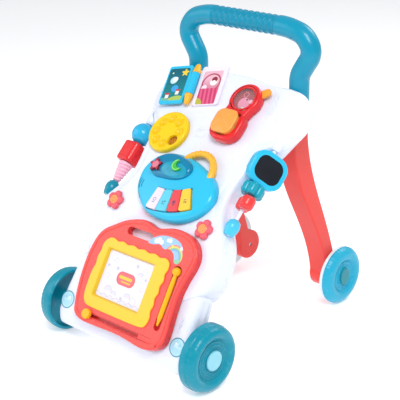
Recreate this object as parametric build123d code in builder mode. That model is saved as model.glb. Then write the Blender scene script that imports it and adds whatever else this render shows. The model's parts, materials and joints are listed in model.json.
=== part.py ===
"""Baby walker with an activity panel: push handle, four wheels, drawing board, piano unit and side beads.

Millimetres, +Z up. The front of the panel faces -Y. The origin is on the floor, under the middle of the
walker's length and width.
"""

import os
from math import cos, radians, sin

from build123d import *

os.makedirs("parts", exist_ok=True)

# ---------------------------------------------------------------- driving dimensions
WHEELBASE = 334.0
FRONT_WHEEL_R = 47.0
REAR_WHEEL_R = 45.0
FRONT_Y = -(WHEELBASE + REAR_WHEEL_R - FRONT_WHEEL_R) / 2
REAR_Y = FRONT_Y + WHEELBASE

FRONT_TRACK_X = 155.0  # outer face of a front wheel
FRONT_WHEEL_W = 24.5
REAR_TRACK_X = 123.0  # outer face of a rear wheel
REAR_WHEEL_W = 18.0
AXLE_R = 3.0
RUN = 0.06  # radial running clearance
GAP = 0.4  # gap under a piece that moves

LOW_SLOPE = 58.35  # slope of the drawing board's face, degrees from level
HIGH_SLOPE = 44.0  # slope of the play face above the fold
FOLD_Y = FRONT_Y + 57.0
FOLD_Z = 202.0
BOARD_DROP = 105.6  # fold to the middle of the drawing board, down the slope
PLAY_RISE = 133.4  # fold to the middle of the head, up the slope
SLAB_T = 43.0  # thickness of the panel
WALL = 2.6
EDGE_R = 7.0  # rounding of the panel's front edge

HANDLE_R = 14.5
HANDLE_X = 96.0
HANDLE_Y = FRONT_Y + 243.0
HANDLE_TOP = 441.5  # height of the bar's centre line
GRIP_HALF = 60.0

LEG_IN = 70.0
LEG_OUT = 104.0
LEG_TOP = 321.0

SPINDLE_X = 118.0
SPINDLE_DEEP = 11.5
SPINDLE_R = 2.5
SPINDLE_LOW_V = -131.0
SPINDLE_HIGH_V = 16.0


def face_plane(slope, drop_v):
    """Plane on the face, drop_v along the slope from the fold: x across, y up the slope, z out of the face."""
    c, s = cos(radians(slope)), sin(radians(slope))
    origin = (0, FOLD_Y + drop_v * c, FOLD_Z + drop_v * s)
    return Plane(origin=origin, x_dir=(1, 0, 0), z_dir=(0, -s, c))


BOARD = face_plane(LOW_SLOPE, -BOARD_DROP)
PLAY = face_plane(HIGH_SLOPE, PLAY_RISE)
FOLD = face_plane((LOW_SLOPE + HIGH_SLOPE) / 2, 0)


def shifted(plane, u, v, h=0.0, turn=0.0):
    """The same plane moved by u, v in itself and h out of it, then turned about its normal."""
    origin = plane.origin + plane.x_dir * u + plane.y_dir * v + plane.z_dir * h
    x_dir = plane.x_dir * cos(radians(turn)) + plane.y_dir * sin(radians(turn))
    return Plane(origin=origin, x_dir=x_dir, z_dir=plane.z_dir)


def save(piece, label):
    """Label one finished piece and write it."""
    piece.part.label = label
    export_step(piece.part, f"parts/{label}.step")


# ---------------------------------------------------------------- panel slab
# Each station is one cross-section of the panel: where it is, the half width at its widest, the half width
# at the back, and how far the ear's edge falls back from the face.
LOW_STATIONS = [
    (2, 92, 90, 0.5),
    (5, 99, 97, 0.5),
    (9, 105.5, 103.5, 0.5),
    (15, 114, 112, 0.5),
    (24, 121.5, 119, 0.5),
    (37, 126, 124, 0.5),
    (54, 127.2, 125.5, 0.5),
    (72, 126.3, 124, 0.5),
    (89, 121.5, 119, 0.5),
]
HIGH_STATIONS = [
    (-118, 106, 104, 0.5),
    (-104, 98.5, 97, 0.5),
    (-86, 93.5, 92, 0.5),
    (-66, 94, 92, 0.5),
    (-44, 97.5, 95.5, 0.5),
    (-24, 99.5, 97.5, 0.5),
    (-14, 102, 100, 0.5),
    (-5, 106, 103, 0.8),
    (1, 110.5, 106.5, 1.5),
    (8, 119.5, 112, 3.5),
    (20, 130, 117, 6),
    (34, 138.5, 121.5, 9),
    (48, 143.2, 125.5, 11),
    (60, 144, 127, 12),
    (71, 141, 126, 11),
    (80, 135.5, 122.5, 9),
    (88, 128, 119, 7),
    (94, 120, 115, 4),
    (97, 113, 112, 2),
]
CREASE_X = 95.0


def stations(v_first, v_last):
    """Stations between a low face place and a play face place, as (plane, half, back half, drop)."""
    rows = [(face_plane(LOW_SLOPE, v - BOARD_DROP), *row) for v, *row in LOW_STATIONS if v >= v_first]
    rows.append((FOLD, 114.5, 112.5, 0.5))
    rows += [(face_plane(HIGH_SLOPE, v + PLAY_RISE), *row) for v, *row in HIGH_STATIONS if v <= v_last]
    return [(Plane(origin=p.origin, x_dir=p.x_dir, z_dir=p.y_dir), *row) for p, *row in rows]


def slab_outline(half, back, drop, inset, depth):
    """Half of one cross-section, drawn right of the middle; y runs into the panel from the face."""
    wide = half - inset
    edge = EDGE_R - inset
    crease = min(CREASE_X, wide - edge - 2)
    front = inset
    corner = (wide - edge, drop + front)
    with BuildLine() as line:
        Line((0, front), (crease, front))
        rim = Line((crease, front), corner)
        TangentArc(corner, (wide, drop + front + edge), tangent=rim % 1)
        Line((wide, drop + front + edge), (back - inset, depth))
        Line((back - inset, depth), (0, depth))
        mirror(about=Plane.YZ)
    return line.line


def slab(v_first, v_last, inset, depth):
    """Solid panel between two places on the face, inset from the outside, down to a depth."""
    with BuildPart() as solid:
        for plane, half, back, drop in stations(v_first, v_last):
            with BuildSketch(plane):
                make_face(slab_outline(half, back, drop, inset, depth).edges())
        loft(ruled=True)
    return solid.part


CROWN_HALF = 60.0
CROWN_V = 96.9
CROWN_RISE = 6.0


def crown(inset, depth):
    """Low arch along the middle of the panel's top end."""
    with BuildPart() as arch:
        with BuildSketch(PLAY.offset(-inset)):
            with BuildLine():
                ThreePointArc(
                    (-CROWN_HALF + 2 * inset, CROWN_V - inset),
                    (0, CROWN_V + CROWN_RISE - inset),
                    (CROWN_HALF - 2 * inset, CROWN_V - inset),
                )
                Line((CROWN_HALF - 2 * inset, CROWN_V - inset), (-CROWN_HALF + 2 * inset, CROWN_V - inset))
            make_face()
        extrude(amount=inset - depth)
    return arch.part


panel_outside = slab(2, 97, 0, SLAB_T) + crown(0, SLAB_T)
panel_inside = slab(5, 94, WALL, SLAB_T + 6)


def handle_hole(radius):
    """Upright cylinders where the two ends of the handle go in."""
    with BuildPart() as holes:
        with BuildSketch(Plane.XY.offset(LEG_TOP + 2)):
            with Locations((HANDLE_X, HANDLE_Y), (-HANDLE_X, HANDLE_Y)):
                Circle(radius)
        extrude(amount=60)
    return holes.part


def spindle_bar(radius, v_low, v_high):
    """Straight bars along both side spindles."""
    base = shifted(PLAY, 0, v_low, -SPINDLE_DEEP)
    with BuildPart() as bars:
        with BuildSketch(Plane(origin=base.origin, x_dir=(1, 0, 0), z_dir=base.y_dir)):
            with Locations((SPINDLE_X, 0), (-SPINDLE_X, 0)):
                Circle(radius)
        extrude(amount=v_high - v_low)
    return bars.part


with BuildPart() as front_shell:
    add(panel_outside)
    add(panel_inside, mode=Mode.SUBTRACT)
    add(handle_hole(HANDLE_R), mode=Mode.SUBTRACT)
    add(spindle_bar(SPINDLE_R, SPINDLE_LOW_V, SPINDLE_HIGH_V), mode=Mode.SUBTRACT)
save(front_shell, "front_shell")

# ---------------------------------------------------------------- rear legs
NECK_FRONT = FRONT_Y + 225.0
NECK_BACK = FRONT_Y + 257.0
HUB_DISC_R = 24.0
LEG_WALL = 2.8


def leg_profile(inset):
    """Side view of a leg's spar, from its neck down to the hub; x is the walker's Y and y its height."""
    with BuildLine() as line:
        back = Spline(
            (NECK_BACK - inset, 284),
            (FRONT_Y + 269 - inset, 231),
            (FRONT_Y + 301 - inset, 152),
            (FRONT_Y + 325 - inset, 90),
            (FRONT_Y + 336 - inset, 50),
        )
        front = Spline(
            (NECK_FRONT + inset, 276),
            (FRONT_Y + 243 + inset, 207),
            (FRONT_Y + 277 + inset, 142),
            (FRONT_Y + 304 + inset, 80),
            (FRONT_Y + 311 + inset, 50),
        )
        Line(back @ 1, front @ 1)
        Polyline(back @ 0, (NECK_BACK - inset, LEG_TOP), (NECK_FRONT + inset, LEG_TOP), front @ 0)
    return line.line


def leg(side):
    """Hollow moulded leg with a round hub at its foot."""
    inner = min(side * LEG_IN, side * LEG_OUT)
    width = LEG_OUT - LEG_IN
    with BuildPart() as body:
        with BuildSketch(Plane.YZ.offset(inner)):
            make_face(leg_profile(0).edges())
            with Locations((REAR_Y, REAR_WHEEL_R)):
                Circle(HUB_DISC_R)
        extrude(amount=width)
        fillet(body.faces().filter_by(Axis.X).edges(), 3)
        with BuildSketch(Plane.YZ.offset(inner + LEG_WALL)):
            make_face(leg_profile(LEG_WALL).edges())
            with Locations((REAR_Y, REAR_WHEEL_R)):
                Circle(AXLE_R + 4, mode=Mode.SUBTRACT)
        extrude(amount=width - 2 * LEG_WALL, mode=Mode.SUBTRACT)
        with BuildSketch(Plane.YZ.offset(inner)):
            with Locations((REAR_Y, REAR_WHEEL_R)):
                Circle(AXLE_R)
        extrude(amount=width, mode=Mode.SUBTRACT)
    return body


leg_left = leg(-1)
leg_right = leg(1)
save(leg_left, "leg_left")
save(leg_right, "leg_right")

# ---------------------------------------------------------------- back cover of the panel
COVER_T = 2.6
COVER_IN = WALL + 0.1


def cover_slab():
    """Thin plate that closes the back of the panel, between the front shell's walls."""
    with BuildPart() as solid:
        for plane, _half, back, _drop in stations(5, 94):
            with BuildSketch(plane):
                with BuildLine():
                    Polyline(
                        (-back + COVER_IN, SLAB_T - COVER_T),
                        (back - COVER_IN, SLAB_T - COVER_T),
                        (back - COVER_IN - 0.3, SLAB_T),
                        (-back + COVER_IN + 0.3, SLAB_T),
                        close=True,
                    )
                make_face()
        loft(ruled=True)
    return solid.part


def leg_sockets():
    """Upright slots where the leg necks go into the back of the head."""
    with BuildPart() as slots:
        with BuildSketch(Plane.XY.offset(LEG_TOP - 60)):
            with Locations(*[(side * (LEG_IN + LEG_OUT) / 2, (NECK_FRONT + NECK_BACK) / 2) for side in (-1, 1)]):
                Rectangle(LEG_OUT - LEG_IN + 0.2, NECK_BACK - NECK_FRONT + 0.2)
        extrude(amount=60.1)
    return slots.part


SCREW_R = 1.6
SCREW_HEAD_R = 3.2
SCREW_LEN = 8.0
BACK_SCREWS_LOW = [(-98, 30), (98, 30), (-98, 80), (98, 80)]
BACK_SCREWS_HIGH = [(-78, -70), (78, -70), (-100, 30), (100, 30), (0, 20), (0, 80)]


def back_screws(radius, head, length, spots, plane):
    """Screws driven into the back cover from behind."""
    with BuildPart() as group:
        with BuildSketch(plane.offset(-SLAB_T)):
            with Locations(*spots):
                Circle(radius)
        extrude(amount=length)
        if head:
            with BuildSketch(plane.offset(-SLAB_T)):
                with Locations(*spots):
                    Circle(head)
            extrude(amount=-1.8)
    return group.part


with BuildPart() as back_cover:
    add(cover_slab())
    add(leg_sockets(), mode=Mode.SUBTRACT)
    add(handle_hole(HANDLE_R), mode=Mode.SUBTRACT)
    add(back_screws(SCREW_R, 0, SCREW_LEN, BACK_SCREWS_LOW, BOARD), mode=Mode.SUBTRACT)
    add(back_screws(SCREW_R, 0, SCREW_LEN, BACK_SCREWS_HIGH, PLAY), mode=Mode.SUBTRACT)
save(back_cover, "back_cover")

with BuildPart() as cover_screws:
    add(back_screws(SCREW_R, SCREW_HEAD_R, SCREW_LEN, BACK_SCREWS_LOW, BOARD))
    add(back_screws(SCREW_R, SCREW_HEAD_R, SCREW_LEN, BACK_SCREWS_HIGH, PLAY))
save(cover_screws, "cover_screws")

# ---------------------------------------------------------------- base between the front wheels
BASE_HALF_LOW = 125.0
BASE_HALF_TOP = 117.0
BASE_TOP_Z = 128.0
BASE_FLOOR_Z = 22.0


def low_point(v, n):
    """Height and Y of a place in the board's plane: v up the slope, n out of the face."""
    p = BOARD.origin + BOARD.y_dir * v + BOARD.z_dir * n
    return (p.Y, p.Z)


def base_profile(inset, open_back):
    """Side view of the base; the cavity's profile runs out through the back."""
    with BuildLine() as line:
        start = low_point(19 - inset, -3 - inset)
        knee = low_point(-38, -2.4 - inset)
        slope = Line(start, knee)
        nose = (FRONT_Y - 34.5 + inset, 46)
        chin = (FRONT_Y - 20, BASE_FLOOR_Z + inset)
        belly = TangentArc(knee, nose, tangent=slope % 1)
        Spline(nose, (FRONT_Y - 31 + inset * 0.8, 30 + inset * 0.6), chin, tangents=(belly % 1, (1, 0)))
        heel = (FRONT_Y + 6, BASE_FLOOR_Z + inset)
        Line(chin, heel)
        out = open_back
        Polyline(
            heel,
            (FRONT_Y + 21 - inset + out, 40),
            (FRONT_Y + 27 - inset + out, 84),
            low_point(19 - inset, -35 + inset - out),
            start,
        )
    return line.line


def base_block(inset, open_back):
    """Base as the side view pushed across, trimmed to its front view."""
    half_low = BASE_HALF_LOW - inset
    half_top = BASE_HALF_TOP - inset
    with BuildPart() as block:
        with BuildSketch(Plane.YZ):
            make_face(base_profile(inset, open_back).edges())
        extrude(amount=half_low, both=True)
        with BuildSketch(Plane.XZ.offset(-FRONT_Y - 120)) as front:
            with BuildLine():
                Polyline(
                    (-half_top, BASE_TOP_Z),
                    (-half_low, 62),
                    (-half_low, BASE_FLOOR_Z + inset),
                    (half_low, BASE_FLOOR_Z + inset),
                    (half_low, 62),
                    (half_top, BASE_TOP_Z),
                    close=True,
                )
            make_face()
            fillet(front.vertices().group_by(Axis.Y)[0], 16 - inset)
        extrude(amount=240, mode=Mode.INTERSECT)
    return block


LABEL_R = 13.0
LABEL_X = 110.0
LABEL_Z = 62.5
LABEL_SLOPE = 60.3  # slope of the base's front there
LABEL_T = 1.6


def label_plane():
    """Plane of the two round labels on the base's front."""
    s, c = sin(radians(LABEL_SLOPE)), cos(radians(LABEL_SLOPE))
    return Plane(origin=(0, FRONT_Y - 26.2, LABEL_Z), x_dir=(1, 0, 0), z_dir=(0, -s, c))


with BuildPart() as round_labels:
    with BuildSketch(label_plane()):
        with Locations((-LABEL_X, 0), (LABEL_X, 0)):
            Circle(LABEL_R)
    extrude(amount=-LABEL_T)
save(round_labels, "round_labels")

with BuildPart() as base_shell:
    add(base_block(0, 0).part)
    add(base_block(WALL, 40).part, mode=Mode.SUBTRACT)
    add(panel_outside, mode=Mode.SUBTRACT)
    with BuildSketch(label_plane()):
        with Locations((-LABEL_X, 0), (LABEL_X, 0)):
            Circle(LABEL_R)
    extrude(amount=-LABEL_T, mode=Mode.SUBTRACT)
    with BuildSketch(Plane.YZ.offset(-BASE_HALF_LOW - 1)):
        with Locations((FRONT_Y, FRONT_WHEEL_R)):
            Circle(AXLE_R)
    extrude(amount=2 * BASE_HALF_LOW + 2, mode=Mode.SUBTRACT)
save(base_shell, "base_shell")

# ---------------------------------------------------------------- axles and wheels
FRONT_INNER_X = FRONT_TRACK_X - FRONT_WHEEL_W
REAR_INNER_X = REAR_TRACK_X - REAR_WHEEL_W
FRONT_CAP_R = 14.0
REAR_CAP_R = 14.0
REAR_RIM_W = 5.5


def axle(x_low, x_high, y, z):
    """Plain steel rod along X."""
    with BuildPart() as rod:
        with BuildSketch(Plane.YZ.offset(x_low)):
            with Locations((y, z)):
                Circle(AXLE_R)
        extrude(amount=x_high - x_low)
    return rod.part


front_axle = BuildPart()
with front_axle:
    add(axle(-FRONT_TRACK_X + 5, FRONT_TRACK_X - 5, FRONT_Y, FRONT_WHEEL_R))
save(front_axle, "front_axle")

with BuildPart() as rear_axles:
    for x_low in (-REAR_TRACK_X + 5, LEG_IN + 1):
        add(axle(x_low, x_low + REAR_TRACK_X - LEG_IN - 6, REAR_Y, REAR_WHEEL_R))
save(rear_axles, "rear_axles")


def turned(profile, side, y, z):
    """Turn a half section about a wheel's axis. The section holds (distance from the middle, radius) pairs."""
    with BuildPart() as solid:
        with BuildSketch(Plane(origin=(0, y, z), x_dir=(side, 0, 0), z_dir=(0, -side, 0))):
            with BuildLine():
                Polyline(*profile, close=True)
            make_face()
        revolve(axis=Axis((0, y, z), (1, 0, 0)))
    return solid


def front_wheel_section():
    """Tread, groove, rounded shoulder and dished face of a front wheel."""
    x0, x1, r = FRONT_INNER_X, FRONT_TRACK_X, FRONT_WHEEL_R
    bore = AXLE_R + RUN
    return [
        (x0 - 4, bore),
        (x1 - 5 + RUN, bore),
        (x1 - 5 + RUN, 1e-3),
        (x1 - 3.5, 1e-3),
        (x1 - 3.5, FRONT_CAP_R + 1),
        (x1 - 4.5, FRONT_CAP_R + 2),
        (x1 - 4.5, 20),
        (x1 - 3.2, 21),
        (x1 - 3.2, 24),
        (x1 - 4.2, 25),
        (x1 - 4.2, 28),
        (x1 - 2.6, 29.5),
        (x1 - 2.6, 32),
        (x1 - 1.4, 34.5),
        (x1, 37.5),
        (x1 - 0.8, 40.5),
        (x1 - 3, 43),
        (x1 - 6, 44.8),
        (x1 - 10, 45.6),
        (x1 - 12, 45.2),
        (x1 - 13, r - 0.6),
        (x1 - 14, r),
        (x0 + 1.5, r),
        (x0, r - 1.5),
        (x0, r - 4.5),
        (x1 - 10, r - 5),
        (x1 - 7.5, r - 8),
        (x1 - 7.5, AXLE_R + 6),
        (x0 - 4, AXLE_R + 6),
    ]


def rear_wheel_section():
    """Outer, coloured half of a rear wheel."""
    x0, x1, r = REAR_INNER_X + REAR_RIM_W, REAR_TRACK_X, REAR_WHEEL_R
    bore = AXLE_R + RUN
    return [
        (x0, bore),
        (x1 - 5 + RUN, bore),
        (x1 - 5 + RUN, 1e-3),
        (x1 - 3, 1e-3),
        (x1 - 3, REAR_CAP_R + 1),
        (x1 - 4, REAR_CAP_R + 2.5),
        (x1 - 4, 20),
        (x1 - 2.6, 21.5),
        (x1 - 2.6, 25),
        (x1 - 1, 27),
        (x1, 30),
        (x1 - 0.4, 34),
        (x1 - 2, 38),
        (x1 - 5, 41.5),
        (x1 - 7, 42.5),
        (x1 - 8.5, r - 0.4),
        (x1 - 9.5, r),
        (x0, r),
    ]


def rear_rim_section():
    """Inner, pale half of a rear wheel."""
    x0, x1, r = REAR_INNER_X, REAR_INNER_X + REAR_RIM_W, REAR_WHEEL_R
    bore = AXLE_R + RUN
    return [(x0, bore), (x1, bore), (x1, r - 0.6), (x1 - 1, r), (x0 + 1.5, r), (x0, r - 1.5)]


def hub_cap(side, x_face, y, z, radius, squeeze):
    """Domed cap pressed on a wheel's face."""
    with BuildPart() as cap:
        with BuildSketch(Plane(origin=(side * x_face, y, z), x_dir=(0, side, 0), z_dir=(side, 0, 0))):
            Ellipse(radius * squeeze, radius)
        extrude(amount=2.6)
        fillet(cap.faces().sort_by(Axis.X)[-1 if side > 0 else 0].edges(), 1.6)
    return cap


for side, name in ((-1, "left"), (1, "right")):
    save(turned(front_wheel_section(), side, FRONT_Y, FRONT_WHEEL_R), f"front_wheel_{name}")
    save(hub_cap(side, FRONT_TRACK_X - 3.5, FRONT_Y, FRONT_WHEEL_R, FRONT_CAP_R, 1), f"front_cap_{name}")
    save(turned(rear_wheel_section(), side, REAR_Y, REAR_WHEEL_R), f"rear_wheel_{name}")
    save(turned(rear_rim_section(), side, REAR_Y, REAR_WHEEL_R), f"rear_rim_{name}")
    save(hub_cap(side, REAR_TRACK_X - 3, REAR_Y, REAR_WHEEL_R, REAR_CAP_R, 0.78), f"rear_cap_{name}")

# ---------------------------------------------------------------- push handle
HANDLE_BENDS = [(HANDLE_X, 376), (119.5, 412), (103, HANDLE_TOP - 7.5), (74, HANDLE_TOP)]
HANDLE_BEND_R = [30, 20, 30, 100]
GRIP_R = HANDLE_R + 1.2
GRIP_RINGS = 11

with BuildPart() as handle_bar:
    with BuildLine(Plane.XZ.offset(-HANDLE_Y)) as handle_path:
        right = [(HANDLE_X, LEG_TOP + 2), *HANDLE_BENDS]
        left = [(-x, z) for x, z in reversed(right)]
        FilletPolyline(*right, *left, radius=HANDLE_BEND_R + HANDLE_BEND_R[::-1])
    with BuildSketch(Plane.XY.offset(LEG_TOP + 2)):
        with Locations((HANDLE_X, HANDLE_Y)):
            Circle(HANDLE_R)
    sweep(path=handle_path.line)
    with BuildSketch(Plane.YZ.offset(-GRIP_HALF)):
        with Locations((HANDLE_Y, HANDLE_TOP)):
            Circle(HANDLE_R + 1)
            Circle(HANDLE_R - 1.5, mode=Mode.SUBTRACT)
    extrude(amount=2 * GRIP_HALF, mode=Mode.SUBTRACT)
save(handle_bar, "handle_bar")

with BuildPart() as handle_grip:
    with BuildSketch(Plane.YZ.offset(-GRIP_HALF)):
        with Locations((HANDLE_Y, HANDLE_TOP)):
            Circle(HANDLE_R - 0.3)
            Circle(HANDLE_R - 1.5, mode=Mode.SUBTRACT)
    extrude(amount=2 * GRIP_HALF)
    pitch = 2 * GRIP_HALF / GRIP_RINGS
    for i in range(GRIP_RINGS):
        with BuildSketch(Plane.YZ.offset(-GRIP_HALF + pitch * i + 1)):
            with Locations((HANDLE_Y, HANDLE_TOP)):
                Circle(HANDLE_R)
                Circle(HANDLE_R - 1, mode=Mode.SUBTRACT)
        extrude(amount=pitch - 2)
save(handle_grip, "handle_grip")

# ---------------------------------------------------------------- drawing board
BOARD_H = 12.0  # height of the frame's front above the panel
BOARD_FLOOR = 4.0
SCREEN_U = -8.0
SCREEN_W = 92.0
SCREEN_H = 71.0
BEZEL_T = 2.6
PEN_U = 77.0
PEN_LOW = -40.0
PEN_BALL_V = 36.0
PEN_R = 3.6
PEN_BALL_R = 6.3
PEN_NECK_R = 2.8
PEN_TIP_R = 1.2
ERASER_V = -63.0
ERASER_LEFT = -49.0
ERASER_TRAVEL = 95.0
BOARD_OUTLINE = [
    (-80, -63),
    (-87, -38),
    (-91.5, 2),
    (-88, 38),
    (-79, 56),
    (-64, 67),
    (-46, 78),
    (-27, 85),
    (-5, 88),
    (16, 83.5),
    (38, 88.5),
    (66, 90),
    (89, 81),
    (101, 60),
    (97, 34),
    (93, 8),
    (94, -19),
    (96.5, -45),
    (94.5, -61),
    (84, -71),
    (30, -74),
    (-48, -75),
    (-70, -72),
]

with BuildPart() as board_frame:
    with BuildSketch(BOARD.offset(GAP)):
        with BuildLine():
            Spline(*BOARD_OUTLINE, periodic=True)
        make_face()
    extrude(amount=BOARD_H - GAP)
    fillet(board_frame.faces().sort_by(Axis(BOARD.origin, BOARD.z_dir))[-1].edges(), 3)
    with BuildSketch(BOARD.offset(BOARD_FLOOR)):
        with Locations((SCREEN_U, 0)):
            RectangleRounded(SCREEN_W + 8, SCREEN_H + 8, 3)
    extrude(amount=BOARD_H, mode=Mode.SUBTRACT)
    with BuildSketch(BOARD):
        with Locations((-9, 67.5)):
            SlotOverall(50, 11.5)
    extrude(amount=BOARD_H + 1, mode=Mode.SUBTRACT)
    with BuildSketch(BOARD.offset(BOARD_FLOOR + 1.5)):
        with Locations((PEN_U, PEN_BALL_V)):
            Circle(PEN_BALL_R + 2)
        with Locations((PEN_U, (PEN_LOW + PEN_BALL_V) / 2)):
            SlotOverall(PEN_BALL_V - PEN_LOW + 14, 2 * PEN_R + 4.5, rotation=90)
    extrude(amount=BOARD_H, mode=Mode.SUBTRACT)
    with BuildSketch(BOARD.offset(BOARD_FLOOR + 1.5)):
        with Locations((ERASER_LEFT + ERASER_TRAVEL / 2, ERASER_V)):
            SlotOverall(ERASER_TRAVEL + 12, 5)
    extrude(amount=BOARD_H, mode=Mode.SUBTRACT)
save(board_frame, "board_frame")

with BuildPart() as board_screen:
    with BuildSketch(BOARD.offset(BOARD_FLOOR)):
        with Locations((SCREEN_U, 0)):
            RectangleRounded(SCREEN_W + 7.6, SCREEN_H + 7.6, 2.8)
    extrude(amount=5)
save(board_screen, "board_screen")

BEZEL_W = 133.0
BEZEL_H = 101.0
SCALLOP_R = 12.5


def bezel_scallops():
    """Places of the rounded bumps along the bezel's edges, as on a slice of bread."""
    top = [(u, BEZEL_H / 2 - 11) for u in (-50, -29, -9, 13, 33, 51)]
    side = [(BEZEL_W / 2 - 12.5, v) for v in (36, 15, -5, -25)]
    left = [(-BEZEL_W / 2 + 12, v) for v in (34, 6)]
    return top + side + left


with BuildPart() as board_bezel:
    with BuildSketch(BOARD.offset(BOARD_H)):
        with Locations((-3.5, -2)):
            RectangleRounded(BEZEL_W - 2, BEZEL_H - 4, 12)
            with Locations(*bezel_scallops()):
                Circle(SCALLOP_R)
        with Locations((SCREEN_U, 0)):
            RectangleRounded(SCREEN_W, SCREEN_H, 3, mode=Mode.SUBTRACT)
    extrude(amount=BEZEL_T)
save(board_bezel, "board_bezel")

with BuildPart() as drawing_pen:
    pen_axis_h = BOARD_FLOOR + 1.5 + PEN_BALL_R + 0.4
    pen_base = shifted(BOARD, PEN_U, PEN_LOW, pen_axis_h)
    with BuildSketch(Plane(origin=pen_base.origin, x_dir=(1, 0, 0), z_dir=-BOARD.z_dir)):
        with BuildLine():
            top = PEN_BALL_V - PEN_LOW
            neck = top - (PEN_BALL_R**2 - PEN_NECK_R**2) ** 0.5
            nib = Polyline((0, 0), (PEN_TIP_R, 0), (PEN_R, -12), (PEN_R, -top + 16), (PEN_NECK_R, -neck))
            ball = ThreePointArc(nib @ 1, (PEN_BALL_R, -top), (0, -top - PEN_BALL_R))
            Line(ball @ 1, (0, 0))
        make_face()
    revolve(axis=Axis(pen_base.origin, BOARD.y_dir))
save(drawing_pen, "drawing_pen")

with BuildPart() as eraser_slider:
    with BuildSketch(BOARD.offset(BOARD_FLOOR + 2)):
        with Locations((ERASER_LEFT, ERASER_V)):
            Circle(2.1)
    extrude(amount=BOARD_H - BOARD_FLOOR)
    with BuildSketch(BOARD.offset(BOARD_H + GAP)):
        with Locations((ERASER_LEFT, ERASER_V)):
            RegularPolygon(7.5, 8)
    extrude(amount=6)
    fillet(eraser_slider.faces().sort_by(Axis(BOARD.origin, BOARD.z_dir))[-1].edges(), 1.5)
save(eraser_slider, "eraser_slider")

# ---------------------------------------------------------------- piano unit
PIANO_H = 14.0
PIANO_WALL = 2.5
DOME_H = 8.0
PIANO_OUTLINE = [
    (-48, -119.5),
    (-59, -100),
    (-61, -79),
    (-50, -58),
    (-29, -47.5),
    (-5, -45),
    (21, -49),
    (44, -57),
    (66, -68),
    (79, -84),
    (82, -102),
    (70, -125),
    (44, -141.5),
    (11, -145.5),
    (-21, -139.5),
]
DOME_OUTLINE = [
    (-43, -81),
    (-44, -72),
    (-39.5, -61),
    (-27, -52.5),
    (-11, -49.5),
    (7, -52),
    (21, -57.5),
    (28, -66),
    (27, -75),
    (18.5, -83.5),
    (3.5, -88.5),
    (-15, -90),
    (-31, -89.5),
]
FAN_U, FAN_V = -3.3, -10.5  # centre that the four keys fan out from
FAN_IN, FAN_OUT = 94.0, 127.0
KEY_ANGLES = [-90.8, -82.0, -73.2, -64.4]
KEY_HALF_ANGLE = 4.15
KEY_LOW = 8.4
KEY_HIGH = 17.0
WELL_FLOOR = 5.4
STAR_AT = (-30.5, -76.0)
MOON_AT = (6.0, -68.5)
STAR_R = 11.5
BUTTON_TRAVEL = 2.5
OUT = Axis(PLAY.origin, PLAY.z_dir)


def fan_sector(r_in, r_out, angle_low, angle_high):
    """Ring sector about the fan's centre, drawn in the play plane."""
    with BuildLine() as line:
        inner = CenterArc((FAN_U, FAN_V), r_in, angle_low, angle_high - angle_low)
        outer = CenterArc((FAN_U, FAN_V), r_out, angle_low, angle_high - angle_low)
        Line(inner @ 0, outer @ 0)
        Line(inner @ 1, outer @ 1)
    return make_face(line.edges(), mode=Mode.PRIVATE)


def shrunk(points, amount):
    """Outline points moved towards their middle by one distance."""
    middle_u = sum(u for u, v in points) / len(points)
    middle_v = sum(v for u, v in points) / len(points)
    moved = []
    for u, v in points:
        reach = ((u - middle_u) ** 2 + (v - middle_v) ** 2) ** 0.5
        scale = 1 - amount / reach
        moved.append((middle_u + (u - middle_u) * scale, middle_v + (v - middle_v) * scale))
    return moved


def star(radius):
    """Five-pointed star with blunt points."""
    points = []
    for i in range(10):
        r = radius if i % 2 == 0 else radius * 0.55
        angle = radians(90 + 36 * i + 12)
        points.append((r * cos(angle), r * sin(angle)))
    return points


def star_sketch(plane, radius):
    """Star outline as a sketch on a plane."""
    with BuildSketch(shifted(plane, *STAR_AT)) as sketch:
        with BuildLine():
            Polyline(*star(radius), close=True)
        make_face()
        fillet(sketch.vertices(), 0.8)
    return sketch.sketch


def moon_sketch(plane, grow):
    """Crescent outline as a sketch on a plane."""
    with BuildSketch(shifted(plane, *MOON_AT)) as sketch:
        Circle(9 + grow)
        with Locations((4.5, 3.5)):
            Circle(7 - grow, mode=Mode.SUBTRACT)
        fillet(sketch.vertices(), 0.7)
    return sketch.sketch


KEY_FAN = (KEY_ANGLES[0] - KEY_HALF_ANGLE, KEY_ANGLES[-1] + KEY_HALF_ANGLE)

with BuildPart() as piano_housing:
    with BuildSketch(PLAY.offset(GAP)):
        with BuildLine():
            Spline(*PIANO_OUTLINE, periodic=True)
        make_face()
    extrude(amount=PIANO_H - GAP)
    fillet(piano_housing.faces().sort_by(OUT)[-1].edges(), 5)
    piano_solid = piano_housing.part
    with BuildSketch(PLAY.offset(WELL_FLOOR)):
        add(fan_sector(FAN_IN - 1, FAN_OUT + 1, KEY_FAN[0] - 0.4, KEY_FAN[1] + 0.4))
    extrude(amount=PIANO_H, mode=Mode.SUBTRACT)
    with BuildSketch(PLAY):
        with BuildLine():
            Spline(*shrunk(PIANO_OUTLINE, PIANO_WALL), periodic=True)
        make_face()
        add(fan_sector(FAN_IN - 3, FAN_OUT + 3, KEY_FAN[0] - 1.5, KEY_FAN[1] + 1.5), mode=Mode.SUBTRACT)
    extrude(amount=PIANO_H - 5, mode=Mode.SUBTRACT)
    extrude(star_sketch(PLAY, STAR_R + GAP), amount=PIANO_H * 2, mode=Mode.SUBTRACT)
    extrude(moon_sketch(PLAY, GAP), amount=PIANO_H * 2, mode=Mode.SUBTRACT)
    for radius in (14, 18, 22):
        with BuildSketch(PLAY.offset(PIANO_H - 6)):
            with BuildLine():
                slit = CenterArc((-31, -103), radius, 165, 50)
            trace(line_width=1.6)
        extrude(amount=PIANO_H, mode=Mode.SUBTRACT)
save(piano_housing, "piano_housing")

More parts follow.
